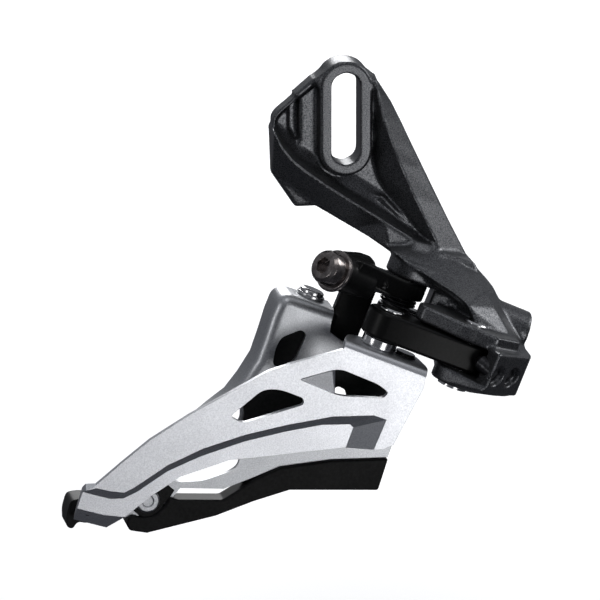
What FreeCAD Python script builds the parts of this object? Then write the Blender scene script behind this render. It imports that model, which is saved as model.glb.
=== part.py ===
import FreeCAD, Part
import math
import os
import re
import Sketcher

# Front derailleur for two chainrings, bolted straight to a frame tab by one slotted face.
# Frame: +X forwards, +Y inboard towards the bicycle's frame, +Z up along the mounting slot.
# Origin: the centre of the mounting slot, on the face that lies against the frame.
# The linkage has a frame of its own at the outer link's base pivot, tipped forwards by "tilt":
# its x runs forwards and down, its y inboard, and its z along the four parallel pivots.

V = FreeCAD.Vector

SIZES = {
    # mounting face
    "slot_width": 5.9,
    "slot_length": 18.8,
    "ring_wall": 2.4,
    "ring_height": 6.0,
    "floor_height": 2.6,
    "rib_height": 8.0,
    # linkage
    "pivot_x": 21.2,
    "pivot_y": -23.0,
    "pivot_z": -45.2,
    "tilt": 22.0,
    "link_length": 16.9,
    "link_angle": 6.0,
    "pair_back": 13.5,
    "pair_inboard": 13.2,
    "axle_radius": 1.6,
    "running": 0.05,
    "bush_wall": 0.7,
    "side_play": 0.35,
    "outer_link_height": 5.6,
    "outer_link_radius": 4.6,
    "inner_link_radius": 4.5,
    "inner_barrel_length": 6.0,
    "ear_wall": 3.2,
    "ear_radius": 4.8,
    "arm_length": 24.1,
    "arm_width": 6.2,
    "spring_wire": 0.6,
    "spring_radius": 3.4,
    # limit screws and casing holder
    "screw_radius": 1.7,
    "screw_pitch": 5.8,
    "stop_reach": 4.4,
    "casing_radius": 2.15,
    "casing_depth": 7.5,
    "boss_wall": 2.4,
    # cable anchor
    "anchor_thread": 2.5,
    "anchor_head_radius": 3.5,
    "anchor_head_height": 3.4,
    "washer_radius": 4.3,
    "washer_height": 1.1,
    # cage
    "cage_reach": 63.7,
    "cage_drop": 57.3,
    "plate_outer": 1.4,
    "plate_inner": 1.2,
    "chain_gap": 11.6,
    "outer_face": 4.5,
    "outer_flange_top": 4.9,
    "inner_flange_top": 2.2,
    "tray_depth": 10.0,
    "skid_thickness": 1.1,
    "skid_wrap": 4.4,
    "rivet_radius": 1.5,
    "tail_screw_radius": 1.5,
}

NAMES = re.compile(r"\b(" + "|".join(sorted(SIZES, key=len, reverse=True)) + r")\b")

doc = FreeCAD.newDocument("front_derailleur")
sheet = doc.addObject("Spreadsheet::Sheet", "Sizes")
for row, (name, size) in enumerate(SIZES.items(), start=1):
    sheet.set(f"A{row}", name)
    sheet.set(f"B{row}", str(size))
    sheet.setAlias(f"B{row}", name)
doc.recompute()

PARTS = []


# ---------------------------------------------------------------- formulas and placements

def formula(text):
    """A formula in the sheet's names, as an expression of this document."""
    return NAMES.sub(r"Sizes.\1", str(text))


def value(text):
    """What a formula in the sheet's names comes to."""
    if isinstance(text, (int, float)):
        return float(text)
    return float(sheet.evalExpression(text))


def tie(thing, target, text):
    """Bind one property of an object to a formula, where it is one."""
    if isinstance(text, str):
        thing.setExpression(target, formula(text))


# The four pivots, in the linkage's own frame.
CAGE_PIVOT = ("-link_length * cos(link_angle)", "link_length * sin(link_angle)")
INNER_BASE = ("-pair_back", "pair_inboard")
INNER_CAGE = ("-link_length * cos(link_angle) - pair_back", "link_length * sin(link_angle) + pair_inboard")
OUTER_BASE = (0.0, 0.0)


def to_frame(point):
    """A point of the linkage's frame, as three formulas in the part's frame."""
    along, inboard, up = [f"({p})" for p in point]
    return (
        f"pivot_x + {along} * cos(tilt) + {up} * sin(tilt)",
        f"pivot_y + {inboard}",
        f"pivot_z - {along} * sin(tilt) + {up} * cos(tilt)",
    )


def seat(thing, point=(0.0, 0.0, 0.0)):
    """Stand an object at a point of the linkage's frame, square to its pivots."""
    place = to_frame(point)
    base = V(*[value(p) for p in place])
    thing.Placement = FreeCAD.Placement(base, FreeCAD.Rotation(V(0, 1, 0), value("tilt")))
    for axis, text in zip("xyz", place):
        tie(thing, f"Placement.Base.{axis}", text)
    tie(thing, "Placement.Rotation.Angle", "tilt")


def aim(thing, point, direction):
    """Stand an object at a point of the linkage's frame, its z along a direction there."""
    tipped = FreeCAD.Rotation(V(0, 1, 0), value("tilt")).multVec(V(*direction))
    base = V(*[value(p) for p in to_frame(point)])
    thing.Placement = FreeCAD.Placement(base, FreeCAD.Rotation(V(0, 0, 1), tipped))
    for axis, text in zip("xyz", to_frame(point)):
        tie(thing, f"Placement.Base.{axis}", text)


# ---------------------------------------------------------------- sketches and features

def new_body(name):
    body = doc.addObject("PartDesign::Body", name)
    body.Label = name
    return body


def keep(thing, name):
    """Label a finished sub-part and put it on the list to be written."""
    thing.Label = name
    PARTS.append(thing)
    return thing


def sketch_on(body, role, offset=0.0):
    """A sketch on one of the body's origin planes, moved off it along its normal."""
    plane = [f for f in body.Origin.OriginFeatures if f.Role == role][0]
    sketch = body.newObject("Sketcher::SketchObject", "Sketch")
    sketch.AttachmentSupport = [(plane, "")]
    sketch.MapMode = "FlatFace"
    sketch.AttachmentOffset = FreeCAD.Placement(V(0, 0, value(offset)), FreeCAD.Rotation())
    tie(sketch, "AttachmentOffset.Base.z", offset)
    return sketch


def pin_point(sketch, line, end, point):
    """Hold one end or centre of a sketch edge at a place given by numbers or formulas."""
    for kind, text in zip(("DistanceX", "DistanceY"), point):
        number = sketch.addConstraint(Sketcher.Constraint(kind, -1, 1, line, end, value(text)))
        tie(sketch, f"Constraints[{number}]", text)


def outline(sketch, points):
    """A closed outline of straight edges through the points."""
    first = sketch.GeometryCount
    spots = [V(value(p[0]), value(p[1]), 0) for p in points]
    for a, b in zip(spots, spots[1:] + spots[:1]):
        sketch.addGeometry(Part.LineSegment(a, b), False)
    for i in range(len(points)):
        after = first + (i + 1) % len(points)
        sketch.addConstraint(Sketcher.Constraint("Coincident", first + i, 2, after, 1))
    for i, point in enumerate(points):
        pin_point(sketch, first + i, 1, point)


def circle(sketch, centre, radius):
    ring = Part.Circle(V(value(centre[0]), value(centre[1]), 0), V(0, 0, 1), value(radius))
    line = sketch.addGeometry(ring, False)
    pin_point(sketch, line, 3, centre)
    number = sketch.addConstraint(Sketcher.Constraint("Radius", line, value(radius)))
    tie(sketch, f"Constraints[{number}]", radius)


def pad(body, sketch, length):
    feature = body.newObject("PartDesign::Pad", "Pad")
    feature.Profile = sketch
    feature.Length = value(length)
    tie(feature, "Length", length)
    return feature


def turn(body, points):
    """A solid of revolution about the body's z: points are (radius, height)."""
    sketch = sketch_on(body, "XZ_Plane")
    outline(sketch, points)
    feature = body.newObject("PartDesign::Revolution", "Revolution")
    feature.Profile = sketch
    feature.ReferenceAxis = (sketch, ["V_Axis"])
    feature.Angle = 360
    return feature


def pocket(body, sketch, length, backwards=False):
    """Cut a sketch into the solid, and make sure that it took something away."""
    doc.recompute()
    before = body.Shape.Volume
    feature = body.newObject("PartDesign::Pocket", "Pocket")
    feature.Profile = sketch
    feature.Length = value(length)
    feature.Reversed = backwards
    tie(feature, "Length", length)
    doc.recompute()
    if not body.Shape.Volume < before:
        raise RuntimeError(f"a pocket of {body.Label} cut nothing")
    return feature


def layer(body, low, high, points=None, centre=None, radius=None, holes=()):
    """A slab square to the body's z, from an outline or a circle, with round holes."""
    sketch = sketch_on(body, "XY_Plane", low)
    if points:
        outline(sketch, points)
    else:
        circle(sketch, centre, radius)
    for hole_centre, hole_radius in holes:
        circle(sketch, hole_centre, hole_radius)
    return pad(body, sketch, f"({high}) - ({low})")


def wall(body, outboard, inboard, points, windows=()):
    """A slab square to y, between two places along y, with its outline in x and z."""
    sketch = sketch_on(body, "XZ_Plane", f"-({inboard})")
    outline(sketch, points)
    for window in windows:
        outline(sketch, window)
    return pad(body, sketch, f"({inboard}) - ({outboard})")


def bore(name, point, direction, radius, length):
    """A round cutter that starts at a point and runs along a direction."""
    tool = doc.addObject("Part::Cylinder", name)
    tool.Radius = value(radius)
    tie(tool, "Radius", radius)
    tool.Height = value(length)
    tie(tool, "Height", length)
    aim(tool, point, direction)
    return tool


def join(name, pieces):
    fuse = doc.addObject("Part::MultiFuse", name)
    fuse.Shapes = pieces
    fuse.Refine = False
    return fuse


def cut(name, base, tool):
    result = doc.addObject("Part::Cut", name)
    result.Base = base
    result.Tool = tool
    return result


# ---------------------------------------------------------------- heights along the pivots

LINK_TOP = "outer_link_height / 2"
FORK_LOW = "-outer_link_height / 2 - side_play"
FORK_HIGH = "outer_link_height / 2 + side_play"
BARREL_LOW = 4.9
BARREL_HIGH = 8.3
UPPER_EAR_LOW = f"{BARREL_HIGH} + side_play"
UPPER_EAR_HIGH = 12.4
LOWER_EAR_LOW = 0.4
LOWER_EAR_HIGH = 2.3
OUTER_WASHER_TOP = "-outer_link_height / 2 - 0.1"
INNER_WASHER_TOP = "-inner_flange_top + 0.8"
PIVOT_HOLE = "axle_radius + bush_wall"


# ---------------------------------------------------------------- bracket

def bracket_plate():
    """The part that lies on the frame: floor, slot ring, and two ribs that meet below it."""
    body = new_body("bracket_plate")
    outer = [
        (0.5, 11.9), (-2.5, 10.9), (-6.6, 7.4), (-10.2, 4.3), (-14.6, 0.6), (-14.6, -11.4),
        (-9.8, -18.6), (-5.9, -18.6), (11.5, -29.6), (17.8, -35.0), (24.5, -31.0),
        (19.0, -19.1), (13.9, -8.6), (10.5, -1.2), (8.1, 4.4), (4.6, 9.8), (3.6, 11.1),
    ]
    wall(body, "-floor_height", 0.0, outer)
    half = "slot_width / 2 + ring_wall"
    straight = "slot_length / 2 - slot_width / 2"
    wall(body, "-ring_height", 0.0, [
        (f"-({half})", f"-({straight})"), (half, f"-({straight})"),
        (half, straight), (f"-({half})", straight),
    ])
    for end in (f"-({straight})", straight):
        sketch = sketch_on(body, "XZ_Plane", 0.0)
        circle(sketch, (0.0, end), half)
        pad(body, sketch, "ring_height")
    lower_crest = [(-14.6, -1.6), (-12.6, -5.6), (-8.5, -9.2), (-0.6, -14.6), (10.5, -22.6), (17.6, -29.2)]
    lower_edge = [(17.2, -33.4), (11.2, -27.4), (0.6, -21.0), (-6.4, -16.8), (-10.6, -16.4), (-14.6, -10.6)]
    rib(body, lower_crest, lower_edge)
    right_crest = [(5.1, 9.8), (5.9, 3.5), (7.7, -2.6), (10.5, -9.9), (13.8, -16.7), (17.6, -25.6)]
    right_edge = [(24.2, -30.6), (18.7, -18.7), (13.6, -8.2), (10.2, -0.8), (7.8, 4.8)]
    rib(body, right_crest, right_edge)
    wall(body, "-rib_height", 0.0, [(17.4, -34.2), (15.2, -28.2), (17.6, -25.2), (22.6, -29.6)])
    return body


def rib(body, crest, edge):
    """A rib that is highest along its crest and slopes off to the plate's edge."""
    wall(body, "-rib_height * 0.55", 0.0, crest + edge)
    inner = edge[::-1]
    ratio = (len(inner) - 1) / (len(crest) - 1)
    middle = []
    for i, (x, z) in enumerate(crest):
        near = inner[min(round(i * ratio), len(inner) - 1)]
        middle.append((x + 0.45 * (near[0] - x), z + 0.45 * (near[1] - z)))
    wall(body, "-rib_height", 0.0, crest + middle[::-1])


def bracket_head():
    """The arm down to the pivots, the two forks, the stop block and the casing holder."""
    body = new_body("bracket_head")
    seat(body)
    base = OUTER_BASE
    inner = INNER_BASE
    # inner link's fork, and the wall that carries it
    layer(body, UPPER_EAR_LOW, UPPER_EAR_HIGH, centre=inner, radius="ear_radius")
    neck = [(-14.5, 17.9), (-13.5, 8.5), (-3.0, 8.6), (3.4, 9.3), (0.5, 21.5), (-9.0, 21.5)]
    layer(body, UPPER_EAR_LOW, UPPER_EAR_HIGH, neck)
    spine = [(-8.1, 10.0), (-5.0, 7.6), (5.5, 7.6), (5.0, 18.5), (-7.0, 18.5)]
    layer(body, LOWER_EAR_LOW, 10.2, spine)
    layer(body, LOWER_EAR_LOW, LOWER_EAR_HIGH, [(-13.8, 16.9), (-12.4, 9.8), (-7.0, 10.2), (-7.0, 18.0)])
    layer(body, LOWER_EAR_LOW, LOWER_EAR_HIGH, centre=inner, radius="ear_radius - 1.1")
    shoulder = [(-9.0, 13.5), (0.0, 13.5), (-1.5, 22.4), (-8.0, 22.4)]
    layer(body, 10.0, 15.6, shoulder)
    # outer link's fork
    hood = [
        (-8.1, 6.7), (-11.2, 4.6), (-12.0, 2.6), (-11.2, 0.2), (-3.0, -4.0), (3.9, -6.0),
        (9.5, -2.0), (9.5, 10.0), (-4.0, 10.0), (-6.5, 8.6),
    ]
    layer(body, FORK_HIGH, f"{FORK_HIGH} + ear_wall", hood)
    layer(body, FORK_HIGH, f"{FORK_HIGH} + ear_wall", centre=base, radius="ear_radius")
    layer(body, f"{FORK_LOW} - ear_wall", FORK_LOW, centre=base, radius="ear_radius")
    jaw = [
        (-4.4, 2.0), (-4.4, -2.0), (-2.0, -4.6), (3.9, -11.0), (12.4, -2.3), (13.4, 1.0), (13.4, 13.0),
        (-3.0, 13.0),
    ]
    layer(body, f"{FORK_LOW} - ear_wall * 0.5", FORK_LOW, jaw)
    # stop block in front of the outer link, with the screws' slanting face
    block = [(2.6, -5.8), (3.9, -11.0), (12.4, -2.3), (13.4, 1.0), (13.4, 9.0), (2.4, 9.6), (6.3, 0.0)]
    layer(body, f"{FORK_LOW} - 1.0", f"{FORK_HIGH} + 1.0", block)
    # sloping outboard face of the arm
    slope = [
        (11.6, 9.4), (3.0, 6.2), (-3.0, 4.6), (-3.0, 3.4), (7.6, 3.4), (7.6, -6.0), (12.6, -6.0),
        (17.0, 2.0), (17.0, 9.4),
    ]
    sketch = sketch_on(body, "YZ_Plane", -4.0)
    outline(sketch, slope)
    pad(body, sketch, 11.0)
    # room for the outer link's nose
    sketch = sketch_on(body, "XY_Plane", FORK_HIGH)
    circle(sketch, base, "stop_reach + 2.3")
    pocket(body, sketch, f"{FORK_HIGH} - ({FORK_LOW})")
    return body


CASING_AXIS_HEIGHT = 6.2
CASING_MOUTH = (12.8, "pair_inboard - 2.2", CASING_AXIS_HEIGHT)
OUT = (0.721, -0.647, -0.248)
ACROSS = (0.668, 0.744, 0.0)
FACE = (7.97, -7.15, -0.77)
FACE_REACH = 10.71
SCREW_DEPTH = 1.2
TIP_DEPTH = f"({FACE_REACH} - stop_reach) / 0.969 - 0.3"


def beside(side, depth):
    """A point on a limit screw's axis: depth is measured inwards from the slanting face."""
    half = f"({side} * screw_pitch / 2)"
    return tuple(f"{f} + {half} * {c} - ({depth}) * {o}" for f, c, o in zip(FACE, ACROSS, OUT))


def base_bracket():
    boss = bore("casing_boss", (2.0, CASING_MOUTH[1], CASING_AXIS_HEIGHT), (1, 0, 0),
                "casing_radius + boss_wall", f"{CASING_MOUTH[0]} - 2.0")
    solid = join("bracket_solid", [bracket_plate(), bracket_head(), boss])
    face = doc.addObject("Part::Box", "screw_face")
    for side, size in zip(("Length", "Width", "Height"), (40.0, 40.0, 12.0)):
        setattr(face, side, size)
    corner = [f - 20.0 * c for f, c in zip(FACE, ACROSS)]
    across_up = V(*OUT).cross(V(*ACROSS))
    corner = [c - 20.0 * u for c, u in zip(corner, across_up)]
    level = FreeCAD.Rotation(V(0, 1, 0), value("tilt"))
    axes = [level.multVec(V(*a)) for a in (ACROSS, tuple(across_up), OUT)]
    spot = V(*[value(p) for p in to_frame(tuple(corner))])
    face.Placement = FreeCAD.Placement(spot, FreeCAD.Rotation(axes[0], axes[1], axes[2], "ZXY"))
    # the bores: pivots, casing seat, cable way, limit screws with their head recesses
    back = (-1, 0, 0)
    down = (0, 0, -1)
    tools = [
        face,
        bore("outer_axle_bore", (0, 0, 30.0), down, "axle_radius", 60.0),
        bore("inner_axle_bore", (INNER_BASE[0], INNER_BASE[1], 20.0), down, "axle_radius", 30.0),
        bore("casing_seat", (CASING_MOUTH[0], CASING_MOUTH[1], CASING_AXIS_HEIGHT), back,
             "casing_radius", "casing_depth"),
        bore("cable_way", (CASING_MOUTH[0], CASING_MOUTH[1], CASING_AXIS_HEIGHT), (-0.957, -0.287, 0.023),
             1.2, 40.0),
    ]
    for side in (-1, 1):
        tools.append(bore(f"screw_bore_{side + 1}", beside(side, -3.0), tuple(-o for o in OUT),
                          "screw_radius + running", 16.0))
        tools.append(bore(f"screw_recess_{side + 1}", beside(side, -3.0), tuple(-o for o in OUT),
                          "screw_radius + 0.45", 4.2))
    solid = cut("bracket_bored", solid, join("bracket_tools", tools))
    slot = new_body("slot_cutter")
    straight = "slot_length / 2 - slot_width / 2"
    half = "slot_width / 2"
    wall(slot, "-ring_height - 1", 1.0, [
        (f"-({half})", f"-({straight})"), (half, f"-({straight})"),
        (half, straight), (f"-({half})", straight),
    ])
    for end in (f"-({straight})", straight):
        sketch = sketch_on(slot, "XZ_Plane", -1.0)
        circle(sketch, (0.0, end), half)
        pad(slot, sketch, "ring_height + 2")
    keep(cut("base_bracket", solid, slot), "base_bracket")


def pin(name, centre, low, high, head="axle_radius + 1.0", head_height=0.6):
    """A pivot axle with a low round head at its upper end."""
    body = new_body(name)
    seat(body, (centre[0], centre[1], 0.0))
    rim = f"({head}) - 0.25"
    turn(body, [
        (0.0, low), ("axle_radius - 0.3", low), ("axle_radius", f"({low}) + 0.3"), ("axle_radius", high),
        (head, high), (head, f"({high}) + {head_height} - 0.25"), (rim, f"({high}) + {head_height}"),
        (0.0, f"({high}) + {head_height}"),
    ])
    keep(body, name)


def ring(name, centre, low, high, inner, outer):
    """A flat ring round a pivot."""
    body = new_body(name)
    seat(body, (centre[0], centre[1], 0.0))
    turn(body, [(inner, low), (outer, low), (outer, high), (inner, high)])
    keep(body, name)


def clip(name, centre, low, thickness=0.6):
    """A retaining clip with an open mouth, snapped round an axle's lower end."""
    body = new_body(name)
    seat(body, (centre[0], centre[1], 0.0))
    turn(body, [
        ("axle_radius", low), ("axle_radius + 1.4", low),
        ("axle_radius + 1.4", f"({low}) + {thickness}"), ("axle_radius", f"({low}) + {thickness}"),
    ])
    sketch = sketch_on(body, "XY_Plane", f"({low}) + {thickness}")
    outline(sketch, [(-0.9, 0.0), (0.9, 0.0), (0.9, 6.0), (-0.9, 6.0)])
    pocket(body, sketch, thickness)
    keep(body, name)


def limit_screw(name, side):
    """A headless limit screw with a hexagon socket, its tip against the outer link's nose."""
    body = new_body(name)
    tip = f"-({TIP_DEPTH} - {SCREW_DEPTH} - 0.5)"
    turn(body, [
        (0.0, f"{tip} - 0.5"), ("screw_radius - 0.9", f"{tip} - 0.5"), ("screw_radius - 0.5", tip),
        ("screw_radius", f"{tip} + 0.5"), ("screw_radius", -0.3), ("screw_radius - 0.3", 0.0), (0.0, 0.0),
    ])
    sketch = sketch_on(body, "XY_Plane", 0.0)
    outline(sketch, hexagon(1.0))
    pocket(body, sketch, 1.6)
    aim(body, beside(side, SCREW_DEPTH), OUT)
    keep(body, name)


def hexagon(half_width):
    radius = half_width / math.cos(math.pi / 6)
    steps = [math.pi / 3 * i for i in range(6)]
    return [(radius * math.cos(s), radius * math.sin(s)) for s in steps]


def spring():
    """The return spring: two turns round the inner link's base axle, and a leg at each end."""
    wire = value("spring_wire")
    leg_slope = 0.25
    low = LOWER_EAR_HIGH + wire / 2 + leg_slope
    rise = BARREL_LOW - wire / 2 - leg_slope - low
    turns = 2 + 20 / 360
    coil = Part.Wire(Part.makeHelix(rise / turns, rise, value("spring_radius"), 0, True))
    first = coil.OrderedEdges[0]
    last = coil.OrderedEdges[-1]
    start = coil.OrderedVertexes[0].Point
    end = coil.OrderedVertexes[-1].Point
    arriving = first.tangentAt(first.FirstParameter)
    leaving = last.tangentAt(last.LastParameter)
    fixed_end = start - arriving * 5.0
    fixed_leg = Part.LineSegment(fixed_end, start).toShape()
    moving_leg = Part.LineSegment(end, end + leaving * 4.9).toShape()
    path = Part.Wire([fixed_leg] + coil.OrderedEdges + [moving_leg])
    section = Part.Wire(Part.makeCircle(wire / 2, fixed_end, arriving))
    solid = path.makePipeShell([section], True, True)
    solid.rotate(V(), V(0, 0, 1), 270)
    solid.translate(V(0, 0, low))
    feature = doc.addObject("Part::Feature", "return_spring")
    feature.Shape = Part.Solid(solid.Shells[0])
    seat(feature, (INNER_BASE[0], INNER_BASE[1], 0.0))
    keep(feature, "return_spring")


# ---------------------------------------------------------------- links

def outer_link():
    body = new_body("outer_link")
    seat(body)
    low = f"-({LINK_TOP})"
    layer(body, low, LINK_TOP, centre=CAGE_PIVOT, radius="outer_link_radius")
    half = "(outer_link_radius - 0.9)"
    reach = "(link_length - outer_link_radius + 0.9)"
    web = []
    start = "outer_link_radius - 1.3"
    for along, side in ((start, 1), (reach, 1), (reach, -1), (start, -1)):
        web.append((
            f"-({along}) * cos(link_angle) + {side} * {half} * sin(link_angle)",
            f"({along}) * sin(link_angle) + {side} * {half} * cos(link_angle)",
        ))
    layer(body, low, LINK_TOP, web)
    layer(body, low, LINK_TOP, centre=OUTER_BASE, radius="outer_link_radius - 0.2")
    layer(body, low, LINK_TOP, nose())
    for pivot in (OUTER_BASE, CAGE_PIVOT):
        sketch = sketch_on(body, "XY_Plane", LINK_TOP)
        circle(sketch, pivot, PIVOT_HOLE)
        pocket(body, sketch, "outer_link_height")
    keep(body, "outer_link")


SWING = 32.0


def nose():
    """The link's front end: one flat for each limit screw, at the two ends of the swing."""
    out = math.atan2(OUT[1], OUT[0])
    reach = value("stop_reach")
    spread = value("screw_pitch") / 2 + 1.0
    far = out - math.radians(SWING)
    corner_angle = (out + far) / 2
    corner = reach / math.cos(math.radians(SWING) / 2)
    return [
        (0.0, 0.0),
        (reach * math.cos(far) + spread * math.sin(far), reach * math.sin(far) - spread * math.cos(far)),
        (corner * math.cos(corner_angle), corner * math.sin(corner_angle)),
        (reach * math.cos(out) - spread * math.sin(out), reach * math.sin(out) + spread * math.cos(out)),
    ]


ANCHOR = (-0.807, -0.565, 0.174)
ARM_BACK = 0.753
ARM_OUT = 0.658
ANCHOR_SEAT = (f"-pair_back - arm_length * {ARM_BACK}", f"pair_inboard - arm_length * {ARM_OUT}", 7.3)
INNER_BARREL_TOP = "-inner_flange_top - plate_inner - side_play"


def inner_link():
    body = new_body("inner_link_body")
    seat(body)
    base = INNER_BASE
    cage = INNER_CAGE
    layer(body, BARREL_LOW, BARREL_HIGH, centre=base, radius="inner_link_radius")
    web = []
    for along, side in ((5.0, 1), ("link_length - 5.2", 1), ("link_length - 5.2", -1), (5.0, -1)):
        web.append((
            f"-pair_back - ({along}) * cos(link_angle) + {side} * 1.7 * sin(link_angle)",
            f"pair_inboard + ({along}) * sin(link_angle) + {side} * 1.7 * cos(link_angle)",
        ))
    layer(body, f"{INNER_BARREL_TOP} - inner_barrel_length", 8.0, web)
    bridge = []
    for along, side in ((0.0, 1), ("link_length - 5.2", 1), ("link_length - 5.2", -1), (0.0, -1)):
        bridge.append((
            f"-pair_back - ({along}) * cos(link_angle) + {side} * 3.0 * sin(link_angle)",
            f"pair_inboard + ({along}) * sin(link_angle) + {side} * 3.0 * cos(link_angle)",
        ))
    layer(body, BARREL_LOW, 8.0, bridge)
    foot = []
    start = "link_length - 6.0"
    for along, side in ((start, 1), ("link_length", 1), ("link_length", -1), (start, -1)):
        foot.append((
            f"-pair_back - ({along}) * cos(link_angle) + {side} * 2.4 * sin(link_angle)",
            f"pair_inboard + ({along}) * sin(link_angle) + {side} * 2.4 * cos(link_angle)",
        ))
    barrel_low = f"{INNER_BARREL_TOP} - inner_barrel_length"
    layer(body, barrel_low, INNER_BARREL_TOP, foot)
    layer(body, barrel_low, INNER_BARREL_TOP, centre=cage, radius="inner_link_radius")
    arm = []
    for along, side in ((1.5, 1), ("arm_length - 2.0", 1), ("arm_length - 2.0", -1), (1.5, -1)):
        arm.append((
            f"-pair_back - ({along}) * {ARM_BACK} + {side} * arm_width / 2 * {ARM_OUT}",
            f"pair_inboard - ({along}) * {ARM_OUT} - {side} * arm_width / 2 * {ARM_BACK}",
        ))
    layer(body, BARREL_LOW, BARREL_HIGH, arm)
    lug = bore("anchor_lug", ANCHOR_SEAT, tuple(-d for d in ANCHOR), "washer_radius - 0.5", 9.0)
    solid = join("inner_link_solid", [body, lug])
    under = doc.addObject("Part::Box", "anchor_clearance")
    for side, size in zip(("Length", "Width", "Height"), (20.0, 16.0, 8.0)):
        setattr(under, side, size)
    seat(under, (-38.0, -9.0, f"{LINK_TOP} + 1.1 - 8.0"))
    down = (0, 0, -1)
    tools = [
        under,
        bore("inner_base_hole", (base[0], base[1], 20.0), down, PIVOT_HOLE, 40.0),
        bore("inner_cage_hole", (cage[0], cage[1], 20.0), down, PIVOT_HOLE, 40.0),
        bore("anchor_hole", ANCHOR_SEAT, tuple(-d for d in ANCHOR), "anchor_thread", 8.0),
    ]
    keep(cut("inner_link", solid, join("inner_link_tools", tools)), "inner_link")


def cable_anchor():
    """The cable's clamp: a flanged socket bolt and a square-grooved washer."""
    washer = new_body("cable_washer")
    turn(washer, [
        ("anchor_thread + running", 0.0), ("washer_radius", 0.0), ("washer_radius", "washer_height"),
        ("anchor_thread + running", "washer_height"),
    ])
    sketch = sketch_on(washer, "XZ_Plane", 2.6)
    circle(sketch, (0.0, -0.1), 0.7)
    groove = washer.newObject("PartDesign::Pocket", "Groove")
    groove.Profile = sketch
    groove.Length = 10.0
    groove.Midplane = True
    aim(washer, ANCHOR_SEAT, ANCHOR)
    keep(washer, "cable_washer")
    bolt = new_body("cable_bolt")
    head = "washer_height + anchor_head_height"
    turn(bolt, [
        (0.0, -6.5), ("anchor_thread - 0.5", -6.5), ("anchor_thread", -6.0),
        ("anchor_thread", "washer_height"), ("anchor_head_radius", "washer_height"),
        ("anchor_head_radius", f"{head} - 0.5"), ("anchor_head_radius - 0.5", head), (0.0, head),
    ])
    sketch = sketch_on(bolt, "XY_Plane", head)
    outline(sketch, hexagon(2.0))
    pocket(bolt, sketch, 2.2)
    aim(bolt, ANCHOR_SEAT, ANCHOR)
    keep(bolt, "cable_bolt")


# ---------------------------------------------------------------- cage

INNER_FACE = "-outer_face + plate_outer + chain_gap"


def tail(forward, up):
    """A point of the cage, measured from the corner of its tail."""
    return (f"-cage_reach + {forward}", f"-cage_drop + {up}")


def outer_plate():
    body = new_body("cage_outer_plate")
    seat(body)
    top = "-outer_flange_top"
    edge = [
        (-24.7, top), (-6.4, top), (-6.1, -7.3), (-7.9, -22.8), (-10.5, -24.0), (-24.0, -29.1),
        (-31.9, -33.2), (-37.5, -35.8), tail(18.0, 14.9), tail(10.1, 3.4), tail(7.1, 0.4), tail(0.6, 0.0),
        tail(0.0, 4.9), tail(2.5, 8.3), tail(9.3, 20.5), (-44.1, -23.7), (-37.3, -15.7), (-28.7, -9.3),
    ]
    upper_window = [
        (-30.2, -15.9), (-25.0, -11.4), (-23.1, -10.7), (-15.1, -11.1), (-13.3, -11.8), (-13.8, -13.0),
        (-22.1, -15.8),
    ]
    rear_window = [
        (-40.3, -26.8), (-39.1, -23.6), (-37.2, -20.1), (-33.8, -18.8), (-29.0, -18.9), (-28.4, -19.7),
        (-38.2, -27.3),
    ]
    wall(body, "-outer_face", "-outer_face + plate_outer", edge, (upper_window, rear_window))
    flange = [
        (-24.7, "-outer_face"), (-6.4, "-outer_face"), (-6.6, -0.5), (-7.4, 5.6), (-10.0, 6.4),
        (-20.0, 6.4), (-22.6, 4.0),
    ]
    layer(body, f"{top} - plate_outer", top, flange,
          holes=[(CAGE_PIVOT, "axle_radius"), (RIVET, "rivet_radius")])
    sketch = sketch_on(body, "XZ_Plane", "outer_face + 1")
    circle(sketch, TAIL_SCREW, "tail_screw_radius")
    pocket(body, sketch, "plate_outer + 3")
    keep(body, "cage_outer_plate")


RIVET = (-10.6, 3.0)
TAIL_SCREW = tail(3.4, 3.4)
SKID_SCREW = tail(16.3, 5.9)
LOWER_EDGE = [
    (-4.4, -26.7), (-15.3, -31.0), (-24.5, -35.8), (-28.5, -39.5), tail(30.5, 12.8), tail(21.6, 9.9),
    tail(20.6, 7.2), tail(18.2, 4.4), tail(15.6, 2.2),
]


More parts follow.
